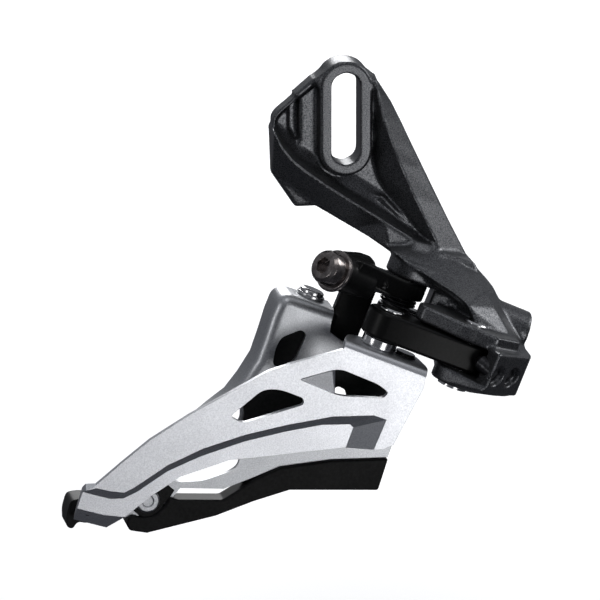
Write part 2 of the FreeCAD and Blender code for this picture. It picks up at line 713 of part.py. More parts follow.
def inner_plate():
    body = new_body("cage_inner_plate")
    seat(body)
    top = "-inner_flange_top"
    bridge_top = "-outer_flange_top - plate_outer"
    edge = [
        (-37.6, top), (-25.9, top), (-25.3, -6.0), (-22.3, bridge_top), (-7.4, bridge_top), (-5.6, -9.0),
        (-4.6, -22.0),
    ] + LOWER_EDGE + [
        tail(8.0, -1.4), tail(4.0, -1.6), tail(3.4, 2.4), tail(6.4, 5.4), tail(13.2, 16.8), (-41.0, -27.4),
        (-38.3, -25.6), (-36.9, -16.8), (-38.0, -5.6),
    ]
    rear_window = [
        (-34.3, -10.9), (-31.0, -8.0), (-29.6, -8.6), (-29.8, -14.3), (-32.0, -17.1), (-33.8, -16.8),
        (-34.5, -13.7),
    ]
    middle_window = [(-25.0, -17.0), (-17.0, -15.6), (-16.0, -17.6), (-19.0, -20.6), (-24.0, -21.0)]
    tail_window = [
        tail(16.7, 12.3), tail(21.2, 17.3), tail(26.7, 21.3), tail(30.1, 20.7), tail(28.3, 17.9),
        tail(24.7, 13.9), tail(20.5, 11.3),
    ]
    wall(body, INNER_FACE, f"{INNER_FACE} + plate_inner", edge, (rear_window, middle_window, tail_window))
    back = f"{INNER_FACE} + tray_depth"
    layer(body, f"{top} - plate_inner", top, [
        (-37.6, INNER_FACE), (-25.9, INNER_FACE), (-25.9, f"{back} - 3.2"), (-28.4, f"{back} - 0.5"),
        (-34.6, f"{back} - 0.5"), (-36.8, f"{back} - 3.5"),
    ], holes=[(INNER_CAGE, "axle_radius")])
    rim = [(-37.6, -2.4), (-38.0, -5.6), (-36.9, -16.8), (-38.3, -25.6), (-41.0, -27.4)]
    inset = [(-40.4, -28.4), (-37.2, -26.2), (-35.7, -16.9), (-36.8, -5.8), (-36.4, -2.4)]
    wall(body, INNER_FACE, f"{INNER_FACE} + tray_depth - 2.5", rim + inset)
    layer(body, f"{bridge_top} - plate_inner", bridge_top, [
        (-14.0, f"{INNER_FACE} + plate_inner"), (-13.4, 1.4), (-7.8, 0.6), (-7.2, 4.4),
        (-7.4, f"{INNER_FACE} + plate_inner"),
    ], holes=[(RIVET, "rivet_radius")])
    for spot, radius in ((TAIL_SCREW, "tail_screw_radius"), (SKID_SCREW, "tail_screw_radius")):
        sketch = sketch_on(body, "XZ_Plane", f"-({INNER_FACE}) + 1")
        circle(sketch, spot, radius)
        pocket(body, sketch, "plate_inner + 2")
    keep(body, "cage_inner_plate")


def skid_plate():
    """The plastic wear strip round the inner plate's lower edge, with a wall on the frame's side."""
    body = new_body("skid_plate")
    seat(body)
    back = f"{INNER_FACE} + plate_inner"
    below = [(x, f"{z} - 0.1") for x, z in LOWER_EDGE]
    lip = below + [
        tail(14.0, 2.2), tail(13.8, 0.0), tail(15.1, -1.0), tail(18.6, 0.0), tail(30.5, 7.9),
        (-27.0, -44.1), (-21.0, -39.5), (-3.9, -33.4),
    ]
    wall(body, f"{INNER_FACE} - skid_thickness", f"{INNER_FACE} + skid_wrap", lip)
    screen = [
        (-34.9, -12.2), (-27.0, -10.8), (-14.0, -10.8), (-8.0, -12.0), (-5.6, -22.6), (-4.6, -28.8),
        (-15.3, -33.0), (-24.5, -37.8), (-28.5, -41.5), (-31.4, -42.0), (-30.0, -36.0), (-32.6, -27.0),
        (-34.4, -22.0),
    ]
    opening = [(-25.6, -17.2), (-16.8, -15.0), (-15.2, -17.8), (-18.6, -21.4), (-24.4, -21.6)]
    wall(body, back, f"{back} + skid_thickness", screen, (opening,))
    wall(body, back, f"{INNER_FACE} + skid_wrap", [
        tail(13.2, 3.4), tail(13.6, 8.4), tail(17.4, 9.6), tail(21.0, 8.6), tail(22.4, 7.4),
        tail(18.0, 1.5), tail(14.6, 1.2),
    ])
    sketch = sketch_on(body, "XZ_Plane", f"-({back}) + 1")
    circle(sketch, SKID_SCREW, "tail_screw_radius")
    pocket(body, sketch, "skid_wrap + 2")
    keep(body, "skid_plate")


def cross_screw(name, spot, start, length, head_radius, head_height):
    """A screw that runs inboard through the cage, with its head on the outboard side."""
    body = new_body(name)
    end = f"{head_height} + ({length})"
    turn(body, [
        (0.0, 0.0), (head_radius - 0.4, 0.0), (head_radius, 0.4), (head_radius, head_height),
        ("tail_screw_radius", head_height), ("tail_screw_radius", end), (0.0, end),
    ])
    sketch = sketch_on(body, "XY_Plane", 0.0)
    outline(sketch, hexagon(1.1))
    pocket(body, sketch, 1.0, backwards=True)
    aim(body, (spot[0], f"{start} - {head_height}", spot[1]), (0, 1, 0))
    keep(body, name)


def tail_spacer():
    """The block that holds the two plates' tails apart."""
    body = new_body("tail_spacer")
    seat(body)
    wall(body, f"{INNER_FACE} - 7.0", INNER_FACE, [
        tail(0.0, 2.3), tail(0.3, -1.2), tail(1.2, -3.3), tail(3.2, -3.4), tail(6.6, -2.2), tail(7.4, 1.2),
        tail(5.4, 5.0), tail(2.1, 3.6),
    ])
    wall(body, "-outer_face + plate_outer", INNER_FACE, [
        tail(1.4, 1.6), tail(3.2, 0.9), tail(5.6, 1.6), tail(6.0, 4.2), tail(4.2, 5.6), tail(1.8, 4.8),
    ])
    sketch = sketch_on(body, "XZ_Plane", "outer_face")
    circle(sketch, TAIL_SCREW, "tail_screw_radius")
    pocket(body, sketch, 20.0)
    keep(body, "tail_spacer")


def cage_rivet():
    rivet = new_body("cage_rivet")
    seat(rivet, (RIVET[0], RIVET[1], 0.0))
    top = "-outer_flange_top"
    foot = f"{top} - plate_outer - plate_inner"
    turn(rivet, [
        (0.0, f"{foot} - 0.6"), ("rivet_radius + 0.5", f"{foot} - 0.6"), ("rivet_radius + 0.8", foot),
        ("rivet_radius", foot), ("rivet_radius", top), ("rivet_radius + 0.9", top),
        ("rivet_radius + 0.5", f"{top} + 0.7"), (0.0, f"{top} + 0.7"),
    ])
    keep(rivet, "cage_rivet")


# ---------------------------------------------------------------- the whole part

def build():
    base_bracket()
    pin("outer_link_base_axle", OUTER_BASE, f"{FORK_LOW} - ear_wall - 1.0", f"{FORK_HIGH} + ear_wall")
    pin("inner_link_base_axle", INNER_BASE, LOWER_EAR_LOW - 0.9, UPPER_EAR_HIGH, head="axle_radius + 0.8")
    clip("outer_axle_clip", OUTER_BASE, f"{FORK_LOW} - ear_wall - 0.7", 0.7)
    clip("inner_axle_clip", INNER_BASE, LOWER_EAR_LOW - 0.6)
    ring("spring_bush", INNER_BASE, LOWER_EAR_HIGH, BARREL_LOW - 0.1, "axle_radius", "spring_radius - 0.6")
    spring()
    limit_screw("low_limit_screw", 1)
    limit_screw("top_limit_screw", -1)
    outer_link()
    bore_radius = "axle_radius + running"
    collar = "0.2"
    ring("outer_base_bush", OUTER_BASE, f"-({LINK_TOP}) - {collar}", f"{LINK_TOP} + {collar}", bore_radius,
         PIVOT_HOLE)
    ring("outer_cage_bush", CAGE_PIVOT, f"-({LINK_TOP})", LINK_TOP, bore_radius, PIVOT_HOLE)
    inner_link()
    ring("inner_base_bush", INNER_BASE, BARREL_LOW, BARREL_HIGH, bore_radius, PIVOT_HOLE)
    barrel_low = f"{INNER_BARREL_TOP} - inner_barrel_length"
    ring("inner_cage_bush", INNER_CAGE, barrel_low, INNER_BARREL_TOP, bore_radius, PIVOT_HOLE)
    cable_anchor()
    outer_plate()
    inner_plate()
    flange = "-outer_flange_top"
    pin("outer_cage_axle", CAGE_PIVOT, f"{flange} - plate_outer - 0.9", f"{LINK_TOP} + 0.1")
    ring("outer_cage_washer", CAGE_PIVOT, flange, OUTER_WASHER_TOP, "axle_radius",
         "outer_link_radius - 1.0")
    pin("inner_cage_axle", INNER_CAGE, f"{barrel_low} - 1.1", INNER_WASHER_TOP, "axle_radius + 0.9", 0.9)
    ring("inner_cage_washer", INNER_CAGE, "-inner_flange_top", INNER_WASHER_TOP, "axle_radius",
         "axle_radius + 1.3")
    clip("inner_cage_clip", INNER_CAGE, f"{barrel_low} - 0.7")
    clip("outer_cage_clip", CAGE_PIVOT, f"{flange} - plate_outer - 0.6")
    cage_rivet()
    skid_plate()
    cross_screw("skid_plate_screw", SKID_SCREW, INNER_FACE, "skid_wrap - 0.2", 2.5, 0.9)
    tail_spacer()
    through = "plate_outer + chain_gap + plate_inner + 0.6"
    cross_screw("tail_screw", TAIL_SCREW, "-outer_face", through, 2.3, 0.8)


def check_and_write():
    doc.recompute()
    for thing in doc.Objects:
        if "Invalid" in thing.State or "Error" in thing.State:
            raise RuntimeError(f"{thing.Label} failed: {thing.State}")
    labels = [thing.Label for thing in PARTS]
    if len(set(labels)) != len(labels):
        raise RuntimeError("two sub-parts share a name")
    for thing in PARTS:
        if thing.Shape.isNull() or not thing.Shape.isValid():
            raise RuntimeError(f"{thing.Label} has no valid shape")
    os.makedirs("parts", exist_ok=True)
    for thing in PARTS:
        thing.Shape.exportStep(os.path.join("parts", thing.Label + ".step"))
        solids = len(thing.Shape.Solids)
        print(f"{thing.Label:22s} {solids} solid  {thing.Shape.Volume:9.2f} mm3")


build()
check_and_write()
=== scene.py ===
import bpy
import bmesh
from math import cos, pi, radians, sin
from mathutils import Matrix, Vector


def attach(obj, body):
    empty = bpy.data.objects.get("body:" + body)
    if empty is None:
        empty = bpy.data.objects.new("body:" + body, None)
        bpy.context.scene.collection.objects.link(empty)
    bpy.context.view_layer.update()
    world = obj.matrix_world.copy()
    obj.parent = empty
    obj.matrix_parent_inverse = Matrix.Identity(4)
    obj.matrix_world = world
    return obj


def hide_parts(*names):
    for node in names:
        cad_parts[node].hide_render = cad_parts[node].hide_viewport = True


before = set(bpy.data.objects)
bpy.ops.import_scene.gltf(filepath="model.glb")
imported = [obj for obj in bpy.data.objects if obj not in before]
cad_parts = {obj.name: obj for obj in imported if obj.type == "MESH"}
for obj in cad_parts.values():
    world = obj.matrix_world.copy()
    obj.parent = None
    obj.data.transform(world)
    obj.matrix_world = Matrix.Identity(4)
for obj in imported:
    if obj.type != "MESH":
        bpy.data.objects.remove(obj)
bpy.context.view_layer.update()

# Lengths are millimetres, except where the studio says metres.
# The mount's frame runs +X forwards, +Y towards the bicycle's frame and +Z up, from the slot's middle.
# The linkage's frame stands at the outer link's base pivot, tipped about Y: its three numbers run
# fore, inboard, and up along the pivots.
MM = 0.001
TILT = radians(22)
PIVOT = Vector((21.2, -23.0, -45.2))
MOUNT = Matrix.Scale(MM, 4)
LINKAGE = Matrix.Scale(MM, 4) @ Matrix.Translation(PIVOT) @ Matrix.Rotation(TILT, 4, "Y")
LINK_ANGLE = radians(6)
OUTER_CAGE = (-16.81, 1.77)
INNER_BASE = (-13.5, 13.2)
INNER_CAGE = (-30.31, 14.97)

# the bracket's slot and its raised ring, and the faces of its plate and ribs
SLOT_HALF_WIDTH = 2.95
SLOT_HALF_STRAIGHT = 6.45
RING_HALF_WIDTH = 5.35
RING_FACE = -6.0
PLATE_FACE = -0.9
RIB_FACE = -8.0

# forks and bores of the bracket's head
EAR_RADIUS = 4.8
EAR_INNER = 3.15
EAR_OUTER = 6.35
EAR_WALL = 4.75
INNER_EAR_LOW = 8.65
INNER_EAR_HIGH = 12.4
AXLE_RADIUS = 1.6
OUTER_LINK_CLEARANCE = 6.7
CASING_Y = 11.0
CASING_UP = 6.2
CASING_MOUTH = 12.8
CASING_RADIUS = 2.15
SCREW_RADIUS = 2.15
SCREW_APART = 2.9

# cable clamp on the inner link's arm
CLAMP_SEAT = Vector((-31.65, -2.66, 7.3))
CLAMP_OUT = Vector((-0.807, -0.565, 0.174))

# cage: where its faces stand, how thick they are, and where its screws go
OUTER_Y = -4.5
PANEL_Y = -3.0
TAIL_Y = -0.6
OUTER_WALL = 1.35
OUTER_FLANGE = -4.9
TRAY_Y = 8.5
INNER_WALL = 1.2
BRIDGE_UP = -7.5
LINER_WALL = 1.0
SKID_REACH = 4.4
OUTBOARD = Vector((0, -1, 0))
SKID_SCREW = (-47.4, -51.4)
TAIL_SCREW = (-58.1, -54.9)

# how finely round shapes are cut, how near vertices merge, and the cells of the fused castings
ROUND_STEPS = 64
SLOT_STEPS = 24
CORNER_STEPS = 4
LINK_END_STEPS = 18
ROLL_STEPS = 6
BEND_STEPS = 5
WELD = 0.0005
SHEET_WELD = 0.01
BRACKET_CELL = 0.34
CARVED_CELL = 0.30
LINK_CELL = 0.25
SOFT_ROUNDS = 3
EDGE_ANGLE = 25


# ---------------------------------------------------------------- finishes

def socket(tree, name, direction, kind, value=None):
    made = tree.interface.new_socket(name=name, in_out=direction, socket_type=kind)
    if value is not None:
        made.default_value = value


def wire(tree, source, target):
    tree.links.new(source, target)


def math_node(tree, operation, source, *numbers):
    """A sum on one changing value and one or two fixed numbers."""
    node = tree.nodes.new("ShaderNodeMath")
    node.operation = operation
    wire(tree, source, node.inputs[0])
    for index, number in enumerate(numbers, start=1):
        node.inputs[index].default_value = number
    return node.outputs[0]


def build_grain_group():
    """Fine grain for cast, blasted or moulded skins: a speckle mask, a broad mottle, and a normal."""
    tree = bpy.data.node_groups.new("surface_grain", "ShaderNodeTree")
    socket(tree, "Grain Scale", "INPUT", "NodeSocketFloat", 2600.0)
    socket(tree, "Relief", "INPUT", "NodeSocketFloat", 0.2)
    socket(tree, "Speckle", "OUTPUT", "NodeSocketFloat")
    socket(tree, "Mottle", "OUTPUT", "NodeSocketFloat")
    socket(tree, "Normal", "OUTPUT", "NodeSocketVector")
    inside = tree.nodes.new("NodeGroupInput")
    outside = tree.nodes.new("NodeGroupOutput")
    place = tree.nodes.new("ShaderNodeTexCoord")
    grain = tree.nodes.new("ShaderNodeTexNoise")
    grain.inputs["Detail"].default_value = 3.0
    grain.inputs["Roughness"].default_value = 0.65
    wire(tree, place.outputs["Object"], grain.inputs["Vector"])
    wire(tree, inside.outputs["Grain Scale"], grain.inputs["Scale"])
    sharpen = tree.nodes.new("ShaderNodeMapRange")
    sharpen.inputs["From Min"].default_value = 0.34
    sharpen.inputs["From Max"].default_value = 0.68
    wire(tree, grain.outputs["Fac"], sharpen.inputs["Value"])
    mottle = tree.nodes.new("ShaderNodeTexNoise")
    mottle.inputs["Scale"].default_value = 140.0
    mottle.inputs["Detail"].default_value = 4.0
    wire(tree, place.outputs["Object"], mottle.inputs["Vector"])
    bump = tree.nodes.new("ShaderNodeBump")
    bump.inputs["Distance"].default_value = 0.00012
    wire(tree, inside.outputs["Relief"], bump.inputs["Strength"])
    wire(tree, grain.outputs["Fac"], bump.inputs["Height"])
    wire(tree, sharpen.outputs["Result"], outside.inputs["Speckle"])
    wire(tree, mottle.outputs["Fac"], outside.inputs["Mottle"])
    wire(tree, bump.outputs["Normal"], outside.inputs["Normal"])
    return tree


GRAIN = build_grain_group()


def finish(name, dark, light, metallic, roughness, spread, scale, relief, specular=0.5):
    """A finish whose colour runs from dark to light with its grain, and whose gloss is a little uneven."""
    material = bpy.data.materials.new(name)
    material.use_nodes = True
    tree = material.node_tree
    shader = tree.nodes["Principled BSDF"]
    shader.inputs["Metallic"].default_value = metallic
    shader.inputs["Specular IOR Level"].default_value = specular
    skin = tree.nodes.new("ShaderNodeGroup")
    skin.node_tree = GRAIN
    skin.inputs["Grain Scale"].default_value = scale
    skin.inputs["Relief"].default_value = relief
    tint = tree.nodes.new("ShaderNodeMix")
    tint.data_type = "RGBA"
    tint.inputs["A"].default_value = (*dark, 1.0)
    tint.inputs["B"].default_value = (*light, 1.0)
    wire(tree, skin.outputs["Speckle"], tint.inputs["Factor"])
    wire(tree, tint.outputs["Result"], shader.inputs["Base Color"])
    gloss = math_node(tree, "MULTIPLY", skin.outputs["Mottle"], spread)
    gloss = math_node(tree, "ADD", gloss, roughness - spread / 2)
    wire(tree, gloss, shader.inputs["Roughness"])
    wire(tree, skin.outputs["Normal"], shader.inputs["Normal"])
    return material


CAST_COAT = finish(
    "cast_charcoal_coat", dark=(0.030, 0.032, 0.036), light=(0.215, 0.218, 0.228),
    metallic=0.80, roughness=0.33, spread=0.08, scale=4000, relief=0.16)
SILVER = finish(
    "blasted_silver", dark=(0.60, 0.61, 0.64), light=(0.82, 0.83, 0.86),
    metallic=0.90, roughness=0.34, spread=0.08, scale=4200, relief=0.10)
# A darker copy of the blasted silver. It is painted shade for the inner guide, its bridge tab and the strip's
# screw, which stand farther back in shadow.
SHADED_SILVER = finish(
    "blasted_silver_painted_shade", dark=(0.40, 0.41, 0.43), light=(0.62, 0.63, 0.65),
    metallic=0.92, roughness=0.36, spread=0.10, scale=4200, relief=0.12)
LINK_BLACK = finish(
    "link_black_gloss", dark=(0.004, 0.004, 0.004), light=(0.008, 0.008, 0.008),
    metallic=0.0, roughness=0.34, spread=0.10, scale=1800, relief=0.04, specular=0.16)
PLASTIC = finish(
    "wear_strip_plastic", dark=(0.005, 0.005, 0.005), light=(0.012, 0.012, 0.012),
    metallic=0.0, roughness=0.50, spread=0.12, scale=1500, relief=0.12, specular=0.2)
BOLT_STEEL = finish(
    "dark_polished_steel", dark=(0.16, 0.145, 0.14), light=(0.34, 0.31, 0.30),
    metallic=1.0, roughness=0.20, spread=0.12, scale=900, relief=0.03)
PIN_STEEL = finish(
    "bright_pin_steel", dark=(0.48, 0.48, 0.49), light=(0.70, 0.70, 0.71),
    metallic=1.0, roughness=0.20, spread=0.14, scale=1200, relief=0.04)
BUSH_POLYMER = finish(
    "bush_polymer", dark=(0.05, 0.05, 0.055), light=(0.09, 0.09, 0.095),
    metallic=0.0, roughness=0.50, spread=0.10, scale=1500, relief=0.08)
SCREW_BLACK = finish(
    "blackened_screw", dark=(0.02, 0.02, 0.022), light=(0.06, 0.06, 0.065),
    metallic=0.9, roughness=0.30, spread=0.10, scale=1400, relief=0.06)


# ---------------------------------------------------------------- shaping

def placed(point, height, along):
    """A point of a flat outline, lifted to a height along x, y or z."""
    if along == "x":
        return (height, point[0], point[1])
    if along == "y":
        return (point[0], height, point[1])
    return (point[0], point[1], height)


def slab(bm, outline, low, high, along="z", matrix=None):
    """A closed slab of one outline between two heights."""
    ring = [bm.verts.new(placed(p, low, along)) for p in outline]
    face = bm.faces.new(ring)
    grown = bmesh.ops.extrude_face_region(bm, geom=[face])
    top = [g for g in grown["geom"] if isinstance(g, bmesh.types.BMVert)]
    bmesh.ops.translate(bm, verts=top, vec=placed((0, 0), high - low, along))
    if matrix:
        bmesh.ops.transform(bm, matrix=matrix, verts=ring + top)


def wrap(bm, points):
    """The closed skin stretched over a few points."""
    ring = [bm.verts.new(p) for p in points]
    made = bmesh.ops.convex_hull(bm, input=ring, use_existing_faces=False)
    loose = {g for g in made["geom_interior"] + made["geom_unused"] if isinstance(g, bmesh.types.BMVert)}
    bmesh.ops.delete(bm, geom=list(loose), context="VERTS")


def aimed(origin, axis):
    """The matrix that stands a shape's Z axis along an axis, at an origin."""
    turn = Vector((0, 0, 1)).rotation_difference(Vector(axis)).to_matrix().to_4x4()
    return Matrix.Translation(origin) @ turn


def drum(bm, start, end, radius, end_radius=None):
    """A solid round bar or cone between two points."""
    start = Vector(start)
    end = Vector(end)
    bmesh.ops.create_cone(
        bm, cap_ends=True, cap_tris=False, segments=ROUND_STEPS, radius1=radius,
        radius2=radius if end_radius is None else end_radius, depth=(end - start).length,
        matrix=aimed((start + end) / 2, end - start))


def stadium(half, straight):
    """The outline of a slot: half its width, and half the distance between its end centres."""
    outline = []
    for side, start in ((1, 0.0), (-1, pi)):
        for step in range(SLOT_STEPS + 1):
            angle = start + pi * step / SLOT_STEPS
            outline.append((half * cos(angle), side * straight + half * sin(angle)))
    return outline


def turned(bm, profile, origin, axis):
    """A solid of revolution: the profile is (radius, height) along the axis from the origin."""
    verts = [bm.verts.new((r, 0, h)) for r, h in profile]
    edges = [bm.edges.new(pair) for pair in zip(verts, verts[1:])]
    if profile[0][0] > 0 or profile[-1][0] > 0:
        edges.append(bm.edges.new((verts[-1], verts[0])))
    bmesh.ops.spin(bm, geom=verts + edges, cent=(0, 0, 0), axis=(0, 0, 1), angle=2 * pi,
                   steps=ROUND_STEPS, use_merge=True, use_duplicate=False)
    bmesh.ops.transform(bm, matrix=aimed(origin, axis), verts=bm.verts)


def put(bm, name, matrix=LINKAGE, keep_normals=False):
    """The finished shape as an object at the origin, its place in its mesh."""
    bmesh.ops.remove_doubles(bm, verts=bm.verts, dist=WELD)
    if not keep_normals:
        bmesh.ops.recalc_face_normals(bm, faces=bm.faces)
    bmesh.ops.transform(bm, matrix=matrix, verts=bm.verts)
    mesh = bpy.data.meshes.new(name)
    bm.to_mesh(mesh)
    bm.free()
    piece = bpy.data.objects.new(name, mesh)
    bpy.context.scene.collection.objects.link(piece)
    return piece


def bake(piece):
    """Fix a piece's modifiers into its mesh."""
    depsgraph = bpy.context.evaluated_depsgraph_get()
    mesh = bpy.data.meshes.new_from_object(piece.evaluated_get(depsgraph))
    rough = piece.data
    piece.modifiers.clear()
    piece.data = mesh
    bpy.data.meshes.remove(rough)
    mesh.name = piece.name


def discard(piece):
    """Remove an object together with its mesh."""
    mesh = piece.data
    bpy.data.objects.remove(piece)
    bpy.data.meshes.remove(mesh)


def fuse(piece, cell):
    """Overlapping solids become one skin, made of cells this size."""
    step = piece.modifiers.new("fuse", "REMESH")
    step.mode = "VOXEL"
    step.voxel_size = cell * MM
    bake(piece)


def carve(piece, tools, matrix=LINKAGE):
    """Take one set of solids out of a piece."""
    cutter = put(tools, "cutter", matrix)
    step = piece.modifiers.new("carve", "BOOLEAN")
    step.operation = "DIFFERENCE"
    step.solver = "EXACT"
    step.object = cutter
    bake(piece)
    discard(cutter)


def soften(piece):
    """Ease the steps that the cells leave."""
    step = piece.modifiers.new("soften", "SMOOTH")
    step.factor = 0.5
    step.iterations = SOFT_ROUNDS
    bake(piece)


def dress(piece, material, body, replaced, sharp=35, bevel=None, segments=3):
    """Finish, shading, and the piece's place in the model."""
    mesh = piece.data
    mesh.materials.clear()
    mesh.materials.append(material)
    mesh.polygons.foreach_set("use_smooth", [True] * len(mesh.polygons))
    if bevel:
        step = piece.modifiers.new("edge", "BEVEL")
        step.width = bevel * MM
        step.segments = segments
        step.limit_method = "ANGLE"
        step.angle_limit = radians(min(sharp, EDGE_ANGLE))
        step.harden_normals = True
    elif sharp:
        mesh.set_sharp_from_angle(angle=radians(sharp))
    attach(piece, body)
    if replaced:
        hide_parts(*replaced)


# ---------------------------------------------------------------- bracket

def bracket_plate(bm):
    """Floor, slot ring, rim, and the two ribs that meet below the pocket. Points are x, z and y."""
    outer = [
        (0.5, 11.9), (-2.5, 10.9), (-6.6, 7.4), (-10.2, 4.3), (-13.6, 1.6), (-14.6, 0.2), (-14.6, -11.4),
        (-9.8, -18.6), (-5.9, -18.6), (11.5, -29.6), (17.8, -35.0), (27.0, -33.0), (24.1, -27.4),
        (14.3, -6.7), (12.2, -2.2), (10.0, 2.4), (6.4, 7.1), (4.2, 10.2), (3.2, 11.2),
    ]
    slab(bm, outer, PLATE_FACE, 0.0, "y")
    # raised pads either side of the groove, and the floor of the pocket
    slab(bm, [(-14.5, 0.4), (-11.3, 3.2), (-11.3, -5.0), (-14.5, -3.0)], -2.9, 0.0, "y")
    slab(bm, [(-9.1, 5.0), (-4.0, 9.0), (-4.0, -10.0), (-9.1, -8.0)], -2.9, 0.0, "y")
    slab(bm, [(3.0, 8.0), (6.5, 5.0), (19.0, -27.0), (0.0, -16.0)], -2.4, 0.0, "y")
    slab(bm, [(-14.5, -10.0), (-14.5, -11.4), (-9.8, -18.5), (-5.9, -18.5), (0.0, -18.0), (-8.0, -9.0)],
         -2.6, 0.0, "y")
    ring = stadium(RING_HALF_WIDTH, SLOT_HALF_STRAIGHT)
    slab(bm, ring, RING_FACE, 0.0, "y")
    # the dome of the top edge
    crown = ring[:SLOT_STEPS + 1]
    wrap(bm, [(x, -5.3, z) for x, z in crown] + [(x, 0.0, z + 0.35) for x, z in crown])
    # rim along the upper rear edge
    rim = [(-2.3, 11.0), (-6.6, 7.4), (-10.2, 4.4), (-13.8, 1.5), (-14.6, 0.2), (-14.6, -3.0)]
    inner = [(-2.0, 10.2), (-6.1, 6.8), (-9.7, 3.9), (-13.2, 1.1), (-14.0, -0.2), (-14.0, -3.0)]
    shoulder = ((-1.0, 11.9), (-2.4, 11.3), (-6.5, 8.0), (-5.0, 5.6))
    wrap(bm, [(x, y, z) for x, z in shoulder for y in (-5.5, 0.0)])
    for a, b, c, d in zip(rim, rim[1:], inner, inner[1:]):
        wrap(bm, [(x, y, z) for x, z in (a, b, c, d) for y in (-4.1, 0.0)])
    # raised tab on the rim
    tab = ((-6.4, 8.3), (-10.2, 5.1), (-9.6, 4.2), (-6.0, 7.2))
    wrap(bm, [(x, y, z) for x, z in tab for y in (-4.6, 0.0)])
    lower_rib(bm)
    right_rib(bm)


def lower_rib(bm):
    """A hollow slope up to a sharp crest, then a flat face down to the plate's lower edge.

    The rows hold x and z, and the foot y as well, because it follows the arm outboard.
    """
    crest = [(-15.0, -1.7), (-13.2, -5.2), (-11.4, -7.6), (-9.1, -9.7), (-4.6, -13.0), (0.0, -16.1),
             (7.5, -21.0), (13.6, -25.0), (18.4, -28.0)]
    hollow = [(-14.5, -1.3), (-12.4, -4.4), (-10.3, -6.9), (-7.7, -8.9), (-4.0, -11.9), (0.5, -14.8),
              (8.0, -19.6), (13.6, -23.6), (17.9, -27.6)]
    floor = [(-14.4, -0.8), (-11.3, -2.6), (-9.0, -5.4), (-5.6, -7.2), (-1.8, -9.4), (2.0, -12.0),
             (9.0, -16.8), (13.6, -20.8), (17.2, -26.8)]
    foot = [(-14.6, -2.7, -11.4), (-13.6, -2.7, -12.1), (-12.2, -2.7, -12.9), (-10.7, -2.8, -13.9),
            (-8.0, -3.0, -15.9), (-4.2, -3.2, -18.6), (2.6, -4.4, -23.2), (8.6, -8.6, -27.2),
            (13.0, -12.6, -29.8)]
    hollow_face = -4.2
    floor_face = -2.3
    last_flat = 5
    for i in range(len(crest) - 1):
        pair = (i, i + 1)
        foot_back = 0.0 if i <= last_flat else -4.0
        wrap(bm, [(crest[k][0], RIB_FACE, crest[k][1]) for k in pair]
             + [(crest[k][0], 0.0, crest[k][1]) for k in pair]
             + [(hollow[k][0], hollow_face, hollow[k][1]) for k in pair]
             + [(hollow[k][0], 0.0, hollow[k][1]) for k in pair])
        wrap(bm, [(floor[k][0], y, floor[k][1]) for k in pair for y in (floor_face, 0.0)]
             + [(hollow[k][0], y, hollow[k][1]) for k in pair for y in (hollow_face, 0.0)])
        wrap(bm, [(crest[k][0], y, crest[k][1]) for k in pair for y in (RIB_FACE, 0.0)]
             + [foot[k] for k in pair]
             + [(foot[k][0], foot_back, foot[k][2]) for k in pair])


def right_rib(bm):
    """A broad band that leans towards the front, with a steep wall down into the pocket."""
    crest = [(5.9, 8.2), (6.3, 4.8), (7.2, 0.2), (8.9, -4.6), (10.5, -9.0), (13.4, -16.0), (18.6, -26.8)]
    base = [(5.7, 7.6), (5.8, 3.0), (5.9, -3.0), (6.1, -8.0), (7.2, -12.6), (10.2, -18.0), (15.6, -25.4)]
    edge = [(5.2, 9.2), (9.3, 3.3), (11.8, -1.6), (13.9, -6.2), (16.4, -11.6), (19.9, -19.0), (26.6, -32.4)]
    top = [-6.1, -7.0, -7.8] + [RIB_FACE] * 4
    for i in range(len(crest) - 1):
        pair = (i, i + 1)
        wrap(bm, [(crest[k][0], top[k], crest[k][1]) for k in pair]
             + [(edge[k][0], -3.0, edge[k][1]) for k in pair]
             + [(edge[k][0], 0.0, edge[k][1]) for k in pair]
             + [(base[k][0] + 1.0, 0.0, base[k][1]) for k in pair])
        wrap(bm, [(crest[k][0], top[k] + 0.3, crest[k][1]) for k in pair]
             + [(base[k][0], -3.2, base[k][1]) for k in pair]
             + [(base[k][0], 0.0, base[k][1]) for k in pair]
             + [(crest[k][0] + 1.0, 0.0, crest[k][1]) for k in pair])
    # where the ribs meet, and the stepped web in the pocket
    wrap(bm, [(18.4, -8.0, -26.8), (13.6, -8.0, -25.0), (18.4, -8.0, -28.2), (26.4, -3.2, -32.2),
              (19.0, -3.6, -34.2), (17.0, 0.0, -25.0), (26.6, 0.0, -32.4), (18.0, 0.0, -34.8)])
    wrap(bm, [(8.0, -4.3, -16.6), (9.6, -4.5, -19.2), (13.2, -4.6, -22.2), (14.6, -4.6, -24.2),
              (10.5, -3.6, -21.4), (5.4, -3.4, -16.4), (9.0, 0.0, -17.0), (14.6, 0.0, -25.0),
              (5.0, 0.0, -18.0)])


